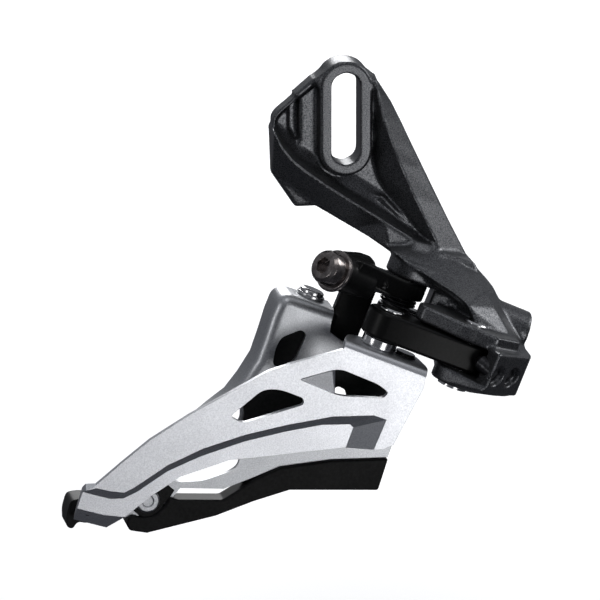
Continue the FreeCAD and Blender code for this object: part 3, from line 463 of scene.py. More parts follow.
def bracket_head(bm):
    """The two forks, the stop block and the casing holder. Points are fore, inboard, up."""
    # the wall between the two forks, and the bridges from it to the arm and to the plate
    slab(bm, [(-8.1, 10.0), (-5.0, 7.8), (5.5, 7.6), (5.0, 18.5), (-7.0, 18.5)], 0.4, 10.2)
    wrap(bm, [(-3.0, 4.6, 8.6), (4.0, 8.8, 9.8), (12.4, 5.0, 2.6), (8.6, -1.0, 1.6), (2.7, 2.0, 3.9),
              (-3.0, 13.0, 8.6), (4.0, 16.0, 9.8), (11.6, 13.0, 2.6), (8.6, 9.0, 0.0), (-3.0, 12.0, 3.2)])
    wrap(bm, [(-9.0, 13.5, 10.0), (0.0, 13.5, 10.0), (-1.5, 22.4, 15.6), (-8.0, 22.4, 15.6),
              (-9.0, 18.5, 8.0), (4.0, 18.5, 8.0), (4.0, 12.0, 9.4), (-9.0, 13.5, 8.0), (3.0, 20.0, 12.0),
              (-8.5, 14.5, 15.6), (-1.0, 14.8, 15.6), (0.6, 14.8, 12.4)])
    # upper fork ear with its rounded left end
    hood = [
        (-8.1, 6.7), (-10.4, 5.4), (-11.6, 3.6), (-12.0, 1.9), (-11.2, 0.2), (-3.0, -4.0), (3.9, -6.0),
        (9.5, -2.0), (9.5, 10.0), (-4.0, 10.0), (-6.5, 8.6),
    ]
    slab(bm, hood, EAR_INNER, EAR_OUTER)
    drum(bm, (0, 0, EAR_INNER), (0, 0, EAR_OUTER), EAR_RADIUS)
    # lower fork ear, and the thicker web that joins it to the stop block
    drum(bm, (0, 0, -EAR_OUTER), (0, 0, -EAR_INNER), EAR_RADIUS)
    slab(bm, [(-4.4, 2.0), (-4.4, -2.0), (-2.0, -4.6), (3.9, -11.0), (12.4, -2.3), (13.4, 1.0),
              (13.4, 13.0), (-3.0, 13.0)], -EAR_WALL, -EAR_INNER)
    web = [(-4.7, 1.0, -6.3), (-3.4, -3.4, -6.3), (2.3, -4.8, -EAR_OUTER), (8.5, -6.2, -EAR_WALL),
           (3.9, -10.8, -4.3), (12.0, -2.3, -EAR_WALL), (6.0, 5.0, -6.3), (-3.1, 4.8, -6.3)]
    wrap(bm, [(f, y, a) for f, y, low in web for a in (low, -3.2)])
    # stop block: a ridge between its bare front and the screws' face
    block = [(2.6, -5.8), (3.9, -11.0), (12.4, -2.3), (13.4, 1.0), (13.4, 9.0), (2.4, 9.6), (6.3, 0.0)]
    slab(bm, block, -4.15, 4.15)
    # inner link's fork and the wall behind it
    drum(bm, (*INNER_BASE, INNER_EAR_LOW), (*INNER_BASE, INNER_EAR_HIGH), EAR_RADIUS)
    slab(bm, [(-14.5, 17.9), (-13.5, 8.5), (-3.0, 8.6), (3.4, 9.3), (0.5, 21.5), (-9.0, 21.5)],
         INNER_EAR_LOW, INNER_EAR_HIGH)
    drum(bm, (*INNER_BASE, 0.4), (*INNER_BASE, 2.3), 3.7)
    slab(bm, [(-13.8, 16.9), (-12.4, 9.8), (-7.0, 10.2), (-7.0, 18.0)], 0.4, 2.3)
    # casing holder: a tapering barrel that grows out of the arm
    drum(bm, (1.0, CASING_Y, CASING_UP), (CASING_MOUTH, CASING_Y, CASING_UP), 4.9, 4.4)


# The stop block's face: the way it looks, the way the two screws stand apart, and a point midway.
SCREW_OUT = Vector((0.721, -0.647, -0.248))
SCREW_ACROSS = Vector((0.668, 0.744, 0.0))
SCREW_FACE = Vector((7.97, -7.15, -0.77))


def screw_axis(side, depth):
    """A point on one stop screw's axis, this deep below the face."""
    return SCREW_FACE + SCREW_ACROSS * (SCREW_APART * side) - SCREW_OUT * depth


def arm_root(bm):
    """Where the ribs run out into the arm, which leans outboard as it goes down. Points are x, y, z."""
    wrap(bm, [(13.6, -8.0, -25.0), (18.4, -8.0, -27.6), (8.6, -8.6, -27.2), (12.0, -13.2, -29.2),
              (12.0, 0.0, -25.0), (18.0, 0.0, -30.0), (10.0, -4.0, -27.4), (16.2, -10.0, -31.0)])
    wrap(bm, [(18.4, -8.0, -27.2), (12.0, -13.2, -29.2), (16.2, -15.6, -31.8), (21.4, -18.2, -36.2),
              (28.4, -14.2, -37.6), (30.6, -8.4, -38.8), (26.2, -4.2, -32.4), (24.4, -3.6, -30.8),
              (18.0, -3.0, -33.0), (28.0, -4.0, -38.0), (22.0, -10.0, -38.0), (15.0, -8.0, -31.0)])


# Three points across the arm's outboard face at each station down it, as x, y and z.
ARM_STATIONS = [
    ((7.9, -13.0, -26.0), (18.4, -8.0, -28.2), (20.6, -3.0, -26.6)),
    ((14.9, -16.0, -30.8), (23.4, -11.4, -31.3), (26.2, -6.4, -31.2)),
    ((19.9, -19.6, -33.9), (26.7, -16.0, -34.3), (29.4, -10.4, -34.8)),
    ((21.9, -22.2, -35.5), (28.2, -19.0, -37.1), (30.8, -12.6, -38.0)),
    ((24.9, -24.6, -42.0), (31.1, -22.6, -42.8), (33.8, -17.0, -44.6)),
    ((28.3, -26.4, -46.8), (33.4, -24.6, -46.6), (34.8, -20.4, -49.4)),
]
ARM_DEPTH = 7.0
ARM_BACK = -0.5


def arm(bm):
    """The broad bar that the two ribs run out into, from their meeting down to the stop block."""
    for first, second in zip(ARM_STATIONS, ARM_STATIONS[1:]):
        points = list(first + second)
        wrap(bm, points + [(x, min(y + ARM_DEPTH, ARM_BACK), z) for x, y, z in points])


def add_shape(piece, bm):
    """Put a further set of solids, in the linkage's frame, into a piece that has not been fused yet."""
    other = put(bm, "addition")
    both = bmesh.new()
    both.from_mesh(piece.data)
    both.from_mesh(other.data)
    both.to_mesh(piece.data)
    both.free()
    discard(other)


def base_bracket():
    plate = bmesh.new()
    bracket_plate(plate)
    arm_root(plate)
    arm(plate)
    piece = put(plate, "bracket_casting", MOUNT)
    head = bmesh.new()
    bracket_head(head)
    add_shape(piece, head)
    fuse(piece, BRACKET_CELL)
    tools = bmesh.new()
    slab(tools, stadium(SLOT_HALF_WIDTH, SLOT_HALF_STRAIGHT), -9.0, 2.0, "y")
    carve(piece, tools, MOUNT)
    # everything outboard of the stop block's face
    tools = bmesh.new()
    side = SCREW_OUT.cross(SCREW_ACROSS)
    reach = 14
    corners = []
    for depth in (0.0, 9.0):
        for u, v in ((-reach, -reach), (reach, -reach), (reach, reach), (-reach, reach)):
            corners.append(SCREW_FACE + SCREW_OUT * depth + SCREW_ACROSS * u + side * v)
    wrap(tools, corners)
    carve(piece, tools)
    # room for the outer link between its ears
    tools = bmesh.new()
    drum(tools, (0, 0, -EAR_INNER), (0, 0, EAR_INNER), OUTER_LINK_CLEARANCE)
    carve(piece, tools)
    # the casing's seat, the screws' mouths, and the holes that the axles come through
    tools = bmesh.new()
    drum(tools, (CASING_MOUTH + 0.1, CASING_Y, CASING_UP), (5.3, CASING_Y, CASING_UP), CASING_RADIUS)
    for end in (-1, 1):
        drum(tools, screw_axis(end, -1.0), screw_axis(end, 1.3), SCREW_RADIUS)
    drum(tools, (0, 0, -9.0), (0, 0, -3.0), AXLE_RADIUS)
    drum(tools, (*INNER_BASE, -1.0), (*INNER_BASE, 2.6), AXLE_RADIUS)
    carve(piece, tools)
    fuse(piece, CARVED_CELL)
    soften(piece)
    dress(piece, CAST_COAT, "bracket", ["base_bracket"], sharp=None)


# ---------------------------------------------------------------- cage

def sheet(bm, loops, height, along="y"):
    """A flat face with an outer loop and any number of windows."""
    edges = []
    for loop in loops:
        ring = [bm.verts.new(placed(p, height, along)) for p in loop]
        edges += [bm.edges.new(pair) for pair in zip(ring, ring[1:] + ring[:1])]
    bmesh.ops.triangle_fill(bm, use_beauty=True, use_dissolve=True, edges=edges)


def rounded(points, radius):
    """An outline with each corner turned as an arc. radius is one number, or one for each corner."""
    outline = []
    count = len(points)
    for i, point in enumerate(points):
        size = radius[i] if isinstance(radius, (list, tuple)) else radius
        here = Vector(point)
        back = Vector(points[i - 1]) - here
        on = Vector(points[(i + 1) % count]) - here
        reach = min(size, back.length * 0.45, on.length * 0.45)
        start = here + back.normalized() * reach
        end = here + on.normalized() * reach
        for step in range(CORNER_STEPS + 1):
            t = step / CORNER_STEPS
            spot = start * (1 - t) ** 2 + here * 2 * t * (1 - t) + end * t ** 2
            outline.append((spot.x, spot.y))
    return outline


def strip(bm, first, second):
    """Faces between two rows of points of the same length."""
    a = [bm.verts.new(p) for p in first]
    b = [bm.verts.new(p) for p in second]
    rails = [bm.edges.new(pair) for row in (a, b) for pair in zip(row, row[1:])]
    bmesh.ops.bridge_loops(bm, edges=rails)


def lift(row, height):
    return [(f, height, a) for f, a in row]


# The two edges of the step down the outer plate, from the tail forwards, as fore and up.
STEP_HIGH = [
    (-62.9, -51.1), (-61.1, -49.9), (-58.3, -49.6), (-55.5, -48.9), (-54.0, -47.3), (-49.3, -40.7),
    (-43.9, -35.2), (-36.8, -29.6), (-29.6, -24.9), (-21.5, -20.2), (-13.7, -17.2), (-11.0, -17.2),
]
STEP_LOW = [
    (-63.1, -51.8), (-60.4, -51.6), (-57.3, -51.3), (-54.8, -50.3), (-52.8, -48.2), (-48.5, -42.1),
    (-43.3, -37.0), (-36.1, -31.2), (-29.1, -26.6), (-22.6, -22.8), (-17.3, -20.8), (-16.4, -21.2),
]
TOP_EDGE = [(-24.7, -6.6), (-6.7, -7.0)]
FRONT_CORNER = (-11.1, -23.8)
PANEL_CORNER = (-16.3, -25.6)


def outer_plate():
    """The stamped outer guide: an upper face, a step down its length, and a sunk lower panel."""
    bm = bmesh.new()
    upper = TOP_EDGE + [(-6.3, -8.6), (-7.7, -21.5), (-9.4, -23.1), FRONT_CORNER] + STEP_HIGH[::-1] + [
        (-61.4, -49.3), (-58.2, -43.4), (-54.6, -37.1), (-49.0, -29.6), (-44.1, -23.9), (-37.3, -15.9),
        (-33.0, -12.5), (-28.7, -9.5),
    ]
    window = rounded([
        (-30.9, -15.4), (-25.0, -11.2), (-23.1, -10.6), (-15.1, -11.0), (-12.7, -11.9), (-13.3, -13.3),
        (-22.1, -15.9),
    ], [0.8, 1.6, 1.6, 1.6, 1.0, 1.0, 2.0])
    rear = rounded([
        (-41.2, -27.2), (-39.1, -23.6), (-37.0, -19.8), (-33.8, -18.6), (-28.6, -18.7), (-28.0, -19.9),
        (-38.2, -27.6),
    ], [1.0, 1.6, 1.6, 1.6, 0.8, 0.8, 1.0])
    sheet(bm, [upper, window, rear], OUTER_Y)
    strip(bm, lift(STEP_HIGH, OUTER_Y), lift(STEP_LOW, PANEL_Y))
    tail_line = [(-53.2, -53.9), (-57.4, -54.9), (-62.9, -55.4)]
    lower = STEP_LOW + [
        PANEL_CORNER, (-24.0, -29.3), (-31.9, -33.2), (-37.5, -35.8), (-45.7, -42.4), (-49.8, -48.2),
    ] + tail_line
    sheet(bm, [lower], PANEL_Y)
    tail_low = [(-55.3, -57.6), (-58.6, -57.9), (-62.2, -58.2)]
    strip(bm, lift(tail_line, PANEL_Y), lift(tail_low, TAIL_Y))
    # the slope at the front end of the sunk panel
    strip(bm, lift([STEP_HIGH[-1], FRONT_CORNER], OUTER_Y), lift([STEP_LOW[-1], PANEL_CORNER], PANEL_Y))
    top_bend(bm)
    bmesh.ops.remove_doubles(bm, verts=bm.verts, dist=SHEET_WELD)
    piece = pressed(bm, "cage_outer_stamping", OUTER_WALL)
    dress(piece, SILVER, "cage", ["cage_outer_plate"], sharp=14, bevel=0.16)
    gusset = bmesh.new()
    wrap(gusset, [(-30.6, OUTER_Y + 0.15, -15.4), (-25.1, OUTER_Y + 0.15, -11.5),
                  (-22.6, OUTER_Y + 0.9, -16.1), (-24.4, -3.2, -11.2), (-24.1, -3.2, -14.7),
                  (-22.6, -3.2, -16.1), (-30.4, -3.3, -15.6), (-25.0, -3.3, -11.0)])
    dress(put(gusset, "window_gusset"), SILVER, "cage", None, bevel=0.12)


def pressed(bm, name, wall):
    """A piece made of an open sheet: its skin faces outboard and its wall stands on the inner side."""
    bmesh.ops.recalc_face_normals(bm, faces=bm.faces)
    facing = sum((f.normal * f.calc_area() for f in bm.faces), Vector())
    if facing.dot(OUTBOARD) < 0:
        bmesh.ops.reverse_faces(bm, faces=bm.faces)
    piece = put(bm, name, keep_normals=True)
    step = piece.modifiers.new("wall", "SOLIDIFY")
    step.thickness = wall * MM
    step.offset = -1.0
    step.use_even_offset = True
    bake(piece)
    return piece


def top_bend(bm):
    """The top of the outer guide: a rolled bend, then a flange that carries the outer link."""
    radius = 1.7
    rows = [lift(TOP_EDGE, OUTER_Y)]
    for step in range(1, BEND_STEPS + 1):
        angle = pi / 2 * step / BEND_STEPS
        inboard = OUTER_Y + radius * (1 - cos(angle))
        rows.append([(f, inboard, a + (OUTER_FLANGE - a) * sin(angle)) for f, a in TOP_EDGE])
    for first, second in zip(rows, rows[1:]):
        strip(bm, first, second)
    rear, front = [(f, y) for f, y, a in rows[-1]]
    flange = [front, (-6.6, -0.5), (-7.4, 5.2), (-8.4, 6.2), (-10.0, 6.4), (-19.6, 6.4), (-21.4, 5.6),
              (-23.0, 3.6), (-24.3, -0.5), rear]
    sheet(bm, [flange], OUTER_FLANGE, "z")


def offset_row(path, distance):
    """A row of points beside a path, on its left."""
    row = []
    for i, point in enumerate(path):
        before = Vector(path[max(i - 1, 0)])
        after = Vector(path[min(i + 1, len(path) - 1)])
        along = (after - before).normalized()
        row.append((point[0] - along.y * distance, point[1] + along.x * distance))
    return row


def inner_plate():
    """The drawn inner guide: a face with windows, and a wall rolled inboard at its rear and top."""
    bm = bmesh.new()
    corner = []
    for step in range(ROLL_STEPS + 1):
        angle = pi - pi / 2 * step / ROLL_STEPS
        corner.append((-35.0 + 2.8 * cos(angle), -4.9 + 2.7 * sin(angle)))
    path = [(-54.5, -44.6), (-50.5, -40.5), (-45.5, -33.4), (-42.4, -29.0), (-39.8, -25.6), (-38.4, -21.6),
            (-37.4, -16.8), (-37.6, -12.0), (-37.9, -7.5)] + corner + [(-31.0, -2.2), (-25.9, -2.2)]
    # how far the wall reaches inboard, and the radius that it rolls round, at each point of the path
    depth = [0.6, 1.4, 3.2, 5.2, 6.6, 7.4, 7.8, 8.0, 8.2] + [8.6] * len(corner) + [9.0, 9.0]
    radius = [0.5, 0.9, 1.4, 1.8, 2.0]
    radius += [2.2] * (len(path) - len(radius))
    rows = []
    for step in range(ROLL_STEPS + 1):
        angle = pi / 2 * step / ROLL_STEPS
        row = []
        for i in range(len(path)):
            near = offset_row(path, -radius[i] * (1 - sin(angle)))[i]
            row.append((near[0], TRAY_Y + radius[i] * (1 - cos(angle)), near[1]))
        rows.append(row)
    rows.append([(p[0], TRAY_Y + d, p[1]) for p, d in zip(path, depth)])
    for first, second in zip(rows, rows[1:]):
        strip(bm, first, second)
    seam = [(f, a) for f, y, a in rows[0]]
    edge = seam + [
        (-25.3, -6.6), (-22.3, BRIDGE_UP), (-7.4, BRIDGE_UP), (-5.6, -9.0), (-4.6, -22.0), (-4.4, -26.7),
        (-15.3, -31.0), (-24.5, -35.8), (-28.5, -39.5), (-33.6, -44.0), (-42.0, -46.8), (-43.1, -50.1),
        (-45.5, -52.9),
        (-48.1, -55.1), (-55.7, -58.5), (-59.7, -58.8), (-60.3, -54.9), (-57.3, -51.9),
    ]
    rear_window = rounded([
        (-34.3, -10.9), (-31.0, -8.0), (-29.6, -8.6), (-29.8, -14.3), (-32.0, -17.1), (-33.8, -16.8),
        (-34.5, -13.7)], 1.1)
    middle_window = rounded(
        [(-25.0, -17.0), (-17.0, -15.6), (-16.0, -17.6), (-19.0, -20.6), (-24.0, -21.0)], 1.0)
    tail_window = rounded([
        (-47.0, -45.0), (-42.5, -40.0), (-37.0, -36.0), (-33.0, -36.4), (-32.6, -38.6), (-33.8, -40.3),
        (-38.2, -43.9), (-43.2, -46.0)], 1.4)
    low_window = rounded(
        [(-38.9, -30.4), (-38.0, -27.6), (-36.6, -27.2), (-35.8, -29.4), (-36.8, -31.6)], 0.8)
    sheet(bm, [edge, rear_window, middle_window, tail_window, low_window], TRAY_Y)
    bmesh.ops.remove_doubles(bm, verts=bm.verts, dist=SHEET_WELD)
    piece = pressed(bm, "cage_inner_stamping", INNER_WALL)
    # The inner guide takes the darker copy of the silver: painted shade.
    dress(piece, SHADED_SILVER, "cage", ["cage_inner_plate"], bevel=0.22)
    tab = bmesh.new()
    slab(tab, [(-14.0, 9.2), (-13.4, 1.4), (-7.8, 0.6), (-7.2, 4.4), (-7.4, 9.2)],
         BRIDGE_UP, BRIDGE_UP + INNER_WALL)
    # The bridge tab takes the same painted shade.
    dress(put(tab, "bridge_tab"), SHADED_SILVER, "cage", None, bevel=0.2)


def dress_plastic(piece, bevel, replaced=None):
    """Finish one of the wear strip's mouldings."""
    dress(piece, PLASTIC, "cage", replaced, bevel=bevel)


def skid_strip():
    """The wear strip along the inner guide's lower edge."""
    bm = bmesh.new()
    edge = [
        (-4.4, -26.8), (-15.3, -31.1), (-24.5, -35.9), (-28.5, -39.8), (-31.0, -43.2), (-33.2, -46.0),
        (-41.6, -48.9), (-43.4, -49.2), (-43.9, -51.4), (-45.2, -53.9), (-47.2, -55.0), (-49.3, -55.1),
        (-49.9, -55.9), (-49.8, -57.3), (-48.6, -58.3), (-45.1, -57.6), (-33.2, -49.6), (-27.0, -44.2),
        (-21.0, -39.6), (-3.9, -33.6)]
    slab(bm, edge, TRAY_Y - 1.1, TRAY_Y + SKID_REACH, "y")
    dress_plastic(put(bm, "skid_strip"), 0.45, ["skid_plate"])


def skid_linings():
    """The skin in front of the inner guide's face, and the small one behind its rear window."""
    bm = bmesh.new()
    liner = [(-36.6, -20.2), (-27.0, -18.4), (-24.0, -12.6), (-8.2, -12.2), (-8.0, -22.0), (-9.5, -25.4),
             (-15.0, -27.7), (-22.8, -31.2), (-29.0, -34.8), (-31.6, -36.2), (-33.6, -34.6), (-35.0, -31.8),
             (-35.6, -28.0), (-36.8, -26.0)]
    eye = rounded([(-20.7, -17.3), (-19.8, -16.2), (-18.2, -16.4), (-17.2, -17.7), (-19.8, -18.8)], 0.5)
    sheet(bm, [rounded(liner, 0.8), eye], TRAY_Y - 1.05)
    dress_plastic(pressed(bm, "skid_liner", LINER_WALL), 0.25)
    bm = bmesh.new()
    rear_liner = [(-36.2, -18.4), (-36.2, -9.6), (-33.4, -6.6), (-28.2, -6.6), (-27.2, -18.4)]
    slab(bm, rounded(rear_liner, 0.8), TRAY_Y + 1.22, TRAY_Y + 1.6, "y")
    dress_plastic(put(bm, "skid_rear_liner"), 0.1)


def skid_boss():
    """The boss under the strip's screw, in front of the inner guide's tail."""
    bm = bmesh.new()
    fore, up = SKID_SCREW
    drum(bm, (fore, TRAY_Y - 0.5, up), (fore, TRAY_Y, up), 3.4)
    slab(bm, [(-50.4, -51.0), (-49.6, -47.6), (-45.6, -46.6), (-43.0, -47.6), (-43.6, -50.4), (-46.0, -52.0)],
         TRAY_Y - 0.4, TRAY_Y, "y")
    dress_plastic(put(bm, "skid_boss"), 0.1)


def skid_screen():
    """The skin behind the inner guide's face, with an opening at the middle window."""
    bm = bmesh.new()
    screen = [
        (-34.9, -12.2), (-27.0, -10.8), (-14.0, -10.8), (-8.0, -12.0), (-5.6, -22.6), (-4.6, -28.8),
        (-15.3, -33.0), (-24.5, -37.8), (-28.5, -41.5), (-31.4, -42.0), (-30.0, -36.0), (-32.6, -27.0),
        (-34.4, -22.0)]
    opening = rounded([(-25.6, -17.2), (-16.8, -15.0), (-15.2, -17.8), (-18.6, -21.4), (-24.4, -21.6)], 1.0)
    sheet(bm, [rounded(screen, 0.8), opening], TRAY_Y + 1.25)
    dress_plastic(pressed(bm, "skid_screen", LINER_WALL), 0.2)


def skid_pad():
    """The pad behind the inner guide's tail, round the strip's screw."""
    bm = bmesh.new()
    pad = [(-50.5, -53.9), (-50.1, -48.9), (-46.3, -47.7), (-42.7, -48.7), (-41.3, -49.9), (-45.7, -55.8),
           (-49.1, -56.1)]
    slab(bm, rounded(pad, 1.2), TRAY_Y + INNER_WALL, TRAY_Y + SKID_REACH, "y")
    dress_plastic(put(bm, "skid_pad"), 0.3)


def skid_fixing():
    """The dished screw that holds the strip at the tail."""
    fore, up = SKID_SCREW
    # The screw takes the darker copy of the silver: painted shade.
    turned_piece("skid_fixing", [(0.0, 0.25), (1.1, 0.25), (1.25, 0.0), (2.1, 0.0), (2.5, 0.35), (2.5, 0.9),
                                 (1.45, 0.9), (1.45, 5.1), (0.0, 5.1)],
                 (fore, TRAY_Y - 0.9, up), (0, 1, 0), SHADED_SILVER, "cage",
                 ["skid_plate_screw"])


SOCKET_DEPTH = 1.8


def turned_piece(name, profile, origin, axis, material, body, replaced, socket_size=None, bevel=0.08):
    """A round piece, perhaps with a hexagon socket sunk in the end that its axis points out of."""
    bm = bmesh.new()
    turned(bm, profile, origin, axis)
    piece = put(bm, name)
    if socket_size:
        top = max(h for r, h in profile)
        tools = bmesh.new()
        ring = [(socket_size * cos(pi / 3 * k), socket_size * sin(pi / 3 * k)) for k in range(6)]
        slab(tools, ring, top - SOCKET_DEPTH, top + 1.0, "z", aimed(origin, axis))
        carve(piece, tools)
    dress(piece, material, body, replaced, bevel=bevel, segments=2)


# ---------------------------------------------------------------- links and fixings

def outer_link():
    """The short thick link: a round end at the cage and a blunt nose at the bracket."""
    bm = bmesh.new()
    end_radius = 4.6
    outline = []
    for step in range(LINK_END_STEPS + 1):
        angle = pi / 2 - LINK_ANGLE + pi * step / LINK_END_STEPS
        outline.append((OUTER_CAGE[0] + end_radius * cos(angle), OUTER_CAGE[1] + end_radius * sin(angle)))
    outline += [(0.4, -4.3), (2.4, -3.8), (4.6, -0.6), (4.9, 1.6), (3.6, 3.6), (0.4, 4.3)]
    slab(bm, outline, -2.8, 2.8)
    dress(put(bm, "outer_link_body"), LINK_BLACK, "outer_link", ["outer_link"],
          bevel=0.7, segments=4)


def link_web(bm, near, far, half, low, high):
    """A bar along the inner link, between two distances from its base pivot."""
    fore = cos(LINK_ANGLE)
    inboard = sin(LINK_ANGLE)
    ring = []
    for along, side in ((near, half), (far, half), (far, -half), (near, -half)):
        ring.append((INNER_BASE[0] - along * fore + side * inboard,
                     INNER_BASE[1] + along * inboard + side * fore))
    slab(bm, ring, low, high)


def inner_link():
    """The link near the frame: an upper barrel, a lower barrel, a web between them and the cable arm."""
    bm = bmesh.new()
    upper_low = 4.9
    upper_high = 8.3
    lower_low = -9.75
    lower_high = -3.75
    barrel = 4.5
    drum(bm, (*INNER_BASE, upper_low), (*INNER_BASE, upper_high), barrel)
    link_web(bm, 5.0, 11.7, 1.7, lower_low, 8.0)
    link_web(bm, 0.0, 11.7, 3.0, upper_low, 8.0)
    link_web(bm, 10.9, 16.9, 2.4, lower_low, lower_high)
    drum(bm, (*INNER_CAGE, lower_low), (*INNER_CAGE, lower_high), barrel)
    # the cable arm, from the upper barrel outboard to the clamp's seat
    arm_foot = ((-15.0, 6.0), (-18.0, 13.0), (-11.6, 9.2))
    wrap(bm, [(-27.4, -3.6, 11.2), (-27.8, -3.6, 7.4), (-31.4, 1.2, 10.2), (-31.4, 1.2, 5.0)]
         + [(f, y, a) for f, y in arm_foot for a in (upper_high, upper_low)])
    drum(bm, CLAMP_SEAT, CLAMP_SEAT - CLAMP_OUT * 9.0, 3.8)
    # cable guide fin behind the clamp
    fin = [(-30.6, 7.0), (-30.6, 10.6), (-27.0, 11.6), (-24.8, 11.6), (-23.7, 11.0), (-23.2, 10.0),
           (-20.9, 9.4), (-19.0, 7.0)]
    slab(bm, fin, 1.6, 4.2, "y")
    piece = put(bm, "inner_link_body")
    fuse(piece, LINK_CELL)
    # room for the outer link and the cage's outer pivot
    tools = bmesh.new()
    slab(tools, [(-38.0, -9.0), (-18.0, -9.0), (-18.0, 7.0), (-38.0, 7.0)], -4.1, 3.9)
    carve(piece, tools)
    # the two bush seats
    bush_radius = 2.3
    tools = bmesh.new()
    drum(tools, (*INNER_BASE, -1.0), (*INNER_BASE, 12.0), bush_radius)
    drum(tools, (*INNER_CAGE, -14.0), (*INNER_CAGE, 0.0), bush_radius)
    carve(piece, tools)
    fuse(piece, LINK_CELL)
    soften(piece)
    dress(piece, LINK_BLACK, "inner_link", ["inner_link"], sharp=None)


def cable_clamp():
    """The bolt and washer that hold the cable's end on the arm."""
    turned_piece(
        "cable_clamp_bolt",
        [(0.0, -6.5), (2.1, -6.5), (2.5, -6.0), (2.5, 1.1), (3.5, 1.1), (3.5, 3.3), (3.3, 3.9), (2.7, 4.4),
         (2.3, 4.5), (0.0, 4.5)],
        CLAMP_SEAT, CLAMP_OUT, BOLT_STEEL, "inner_link", ["cable_bolt"], 1.75, 0.16)
    turned_piece(
        "cable_clamp_washer",
        [(2.55, 0.0), (4.0, 0.0), (4.3, 0.25), (4.3, 0.85), (4.0, 1.1), (2.55, 1.1)],
        CLAMP_SEAT, CLAMP_OUT, BOLT_STEEL, "inner_link", ["cable_washer"])


def cage_pivots():
    """The two axles that carry the cage, and the shim on each."""
    outer = (*OUTER_CAGE, 0.0)
    inner = (*INNER_CAGE, 0.0)
    rows = [
        ("outer_cage_pin", outer, "outer_cage_axle", 0.08,
         [(0.0, -7.2), (1.4, -7.2), (AXLE_RADIUS, -6.9), (AXLE_RADIUS, 2.9), (2.6, 2.9), (2.6, 3.25),
          (2.2, 3.5), (0.0, 3.5)]),
        ("outer_cage_shim", outer, "outer_cage_washer", 0.3,
         [(AXLE_RADIUS, -4.9), (3.6, -4.9), (3.6, -2.9), (AXLE_RADIUS, -2.9)]),
        ("inner_cage_pin", inner, "inner_cage_axle", 0.08,
         [(0.0, -10.85), (1.4, -10.85), (AXLE_RADIUS, -10.5), (AXLE_RADIUS, -1.4), (2.5, -1.4),
          (2.5, -0.8), (2.1, -0.5), (0.0, -0.5)]),
        ("inner_cage_shim", inner, "inner_cage_washer", 0.2,
         [(AXLE_RADIUS, -2.2), (2.9, -2.2), (2.9, -1.4), (AXLE_RADIUS, -1.4)]),
    ]
    for name, origin, node, bevel, profile in rows:
        turned_piece(name, profile, origin, (0, 0, 1), PIN_STEEL, "cage", [node], bevel=bevel)


def stop_screws():
    """The two limit screws, sunk in the stop block's face."""
    profile = [(0.0, -5.0), (0.8, -5.0), (1.2, -4.6), (1.7, -4.0), (1.7, -0.3), (1.4, 0.0), (0.0, 0.0)]
    rows = (("low_stop_screw", 1, "low_screw", "low_limit_screw"),
            ("top_stop_screw", -1, "top_screw", "top_limit_screw"))
    for name, side, body, node in rows:
        turned_piece(name, profile, screw_axis(side, 1.2), SCREW_OUT, SCREW_BLACK, body,
                     [node], 1.1, 0.1)


def tail_block():
    """The moulded block that spaces the two guides' tails, and the fastener through it."""
    bm = bmesh.new()
    cap = [(-63.7, -55.2), (-63.4, -58.3), (-62.4, -60.6), (-61.1, -60.6), (-60.7, -58.8), (-58.6, -58.5),
           (-57.4, -56.5), (-58.3, -53.4), (-61.6, -54.0)]
    slab(bm, rounded(cap, 0.9), TRAY_Y - 7.0, TRAY_Y, "y")
    core = [(-62.0, -55.7), (-60.5, -56.4), (-58.1, -55.7), (-57.9, -54.2), (-61.4, -54.2)]
    slab(bm, rounded(core, 0.5), -2.2, TRAY_Y, "y")
    dress_plastic(put(bm, "tail_block"), 0.35, ["tail_spacer"])
    bm = bmesh.new()
    fore, up = TAIL_SCREW
    drum(bm, (fore, -2.0, up), (fore, TRAY_Y + 1.3, up), 1.25)
    drum(bm, (fore, TRAY_Y + 1.2, up), (fore, TRAY_Y + 2.2, up), 1.9)
    dress(put(bm, "tail_fastener"), SCREW_BLACK, "cage", ["tail_screw"], bevel=0.15)


# ---------------------------------------------------------------- build, light and camera

base_bracket()
outer_plate()
inner_plate()
skid_strip()
skid_linings()
skid_boss()
skid_screen()
skid_pad()
skid_fixing()
outer_link()
inner_link()
cable_clamp()
cage_pivots()
stop_screws()
tail_block()

# The small parts that are carried over as they are, each with its finish.
CARRIED = {
    "return_spring": SCREW_BLACK, "outer_link_base_axle": PIN_STEEL, "inner_link_base_axle": PIN_STEEL,
    "outer_axle_clip": PIN_STEEL, "inner_axle_clip": PIN_STEEL, "outer_cage_clip": PIN_STEEL,
    "inner_cage_clip": PIN_STEEL, "cage_rivet": PIN_STEEL,
    "spring_bush": BUSH_POLYMER, "outer_base_bush": BUSH_POLYMER, "outer_cage_bush": BUSH_POLYMER,
    "inner_base_bush": BUSH_POLYMER, "inner_cage_bush": BUSH_POLYMER,
}
for node, material in CARRIED.items():
    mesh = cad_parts[node].data
    mesh.materials.clear()
    mesh.materials.append(material)


# The studio's lengths are metres, and the sensor is millimetres.
CENTRE = Vector((-0.01176, -0.020, -0.03348))
FLOOR_HALF = 6.0
FLOOR_UP = -0.112
SENSOR = 36
VIEW_WIDTH = 0.12
CAMERA_DISTANCE = 1.8
CAMERA_AZIMUTH = -9.5
CAMERA_ELEVATION = 14


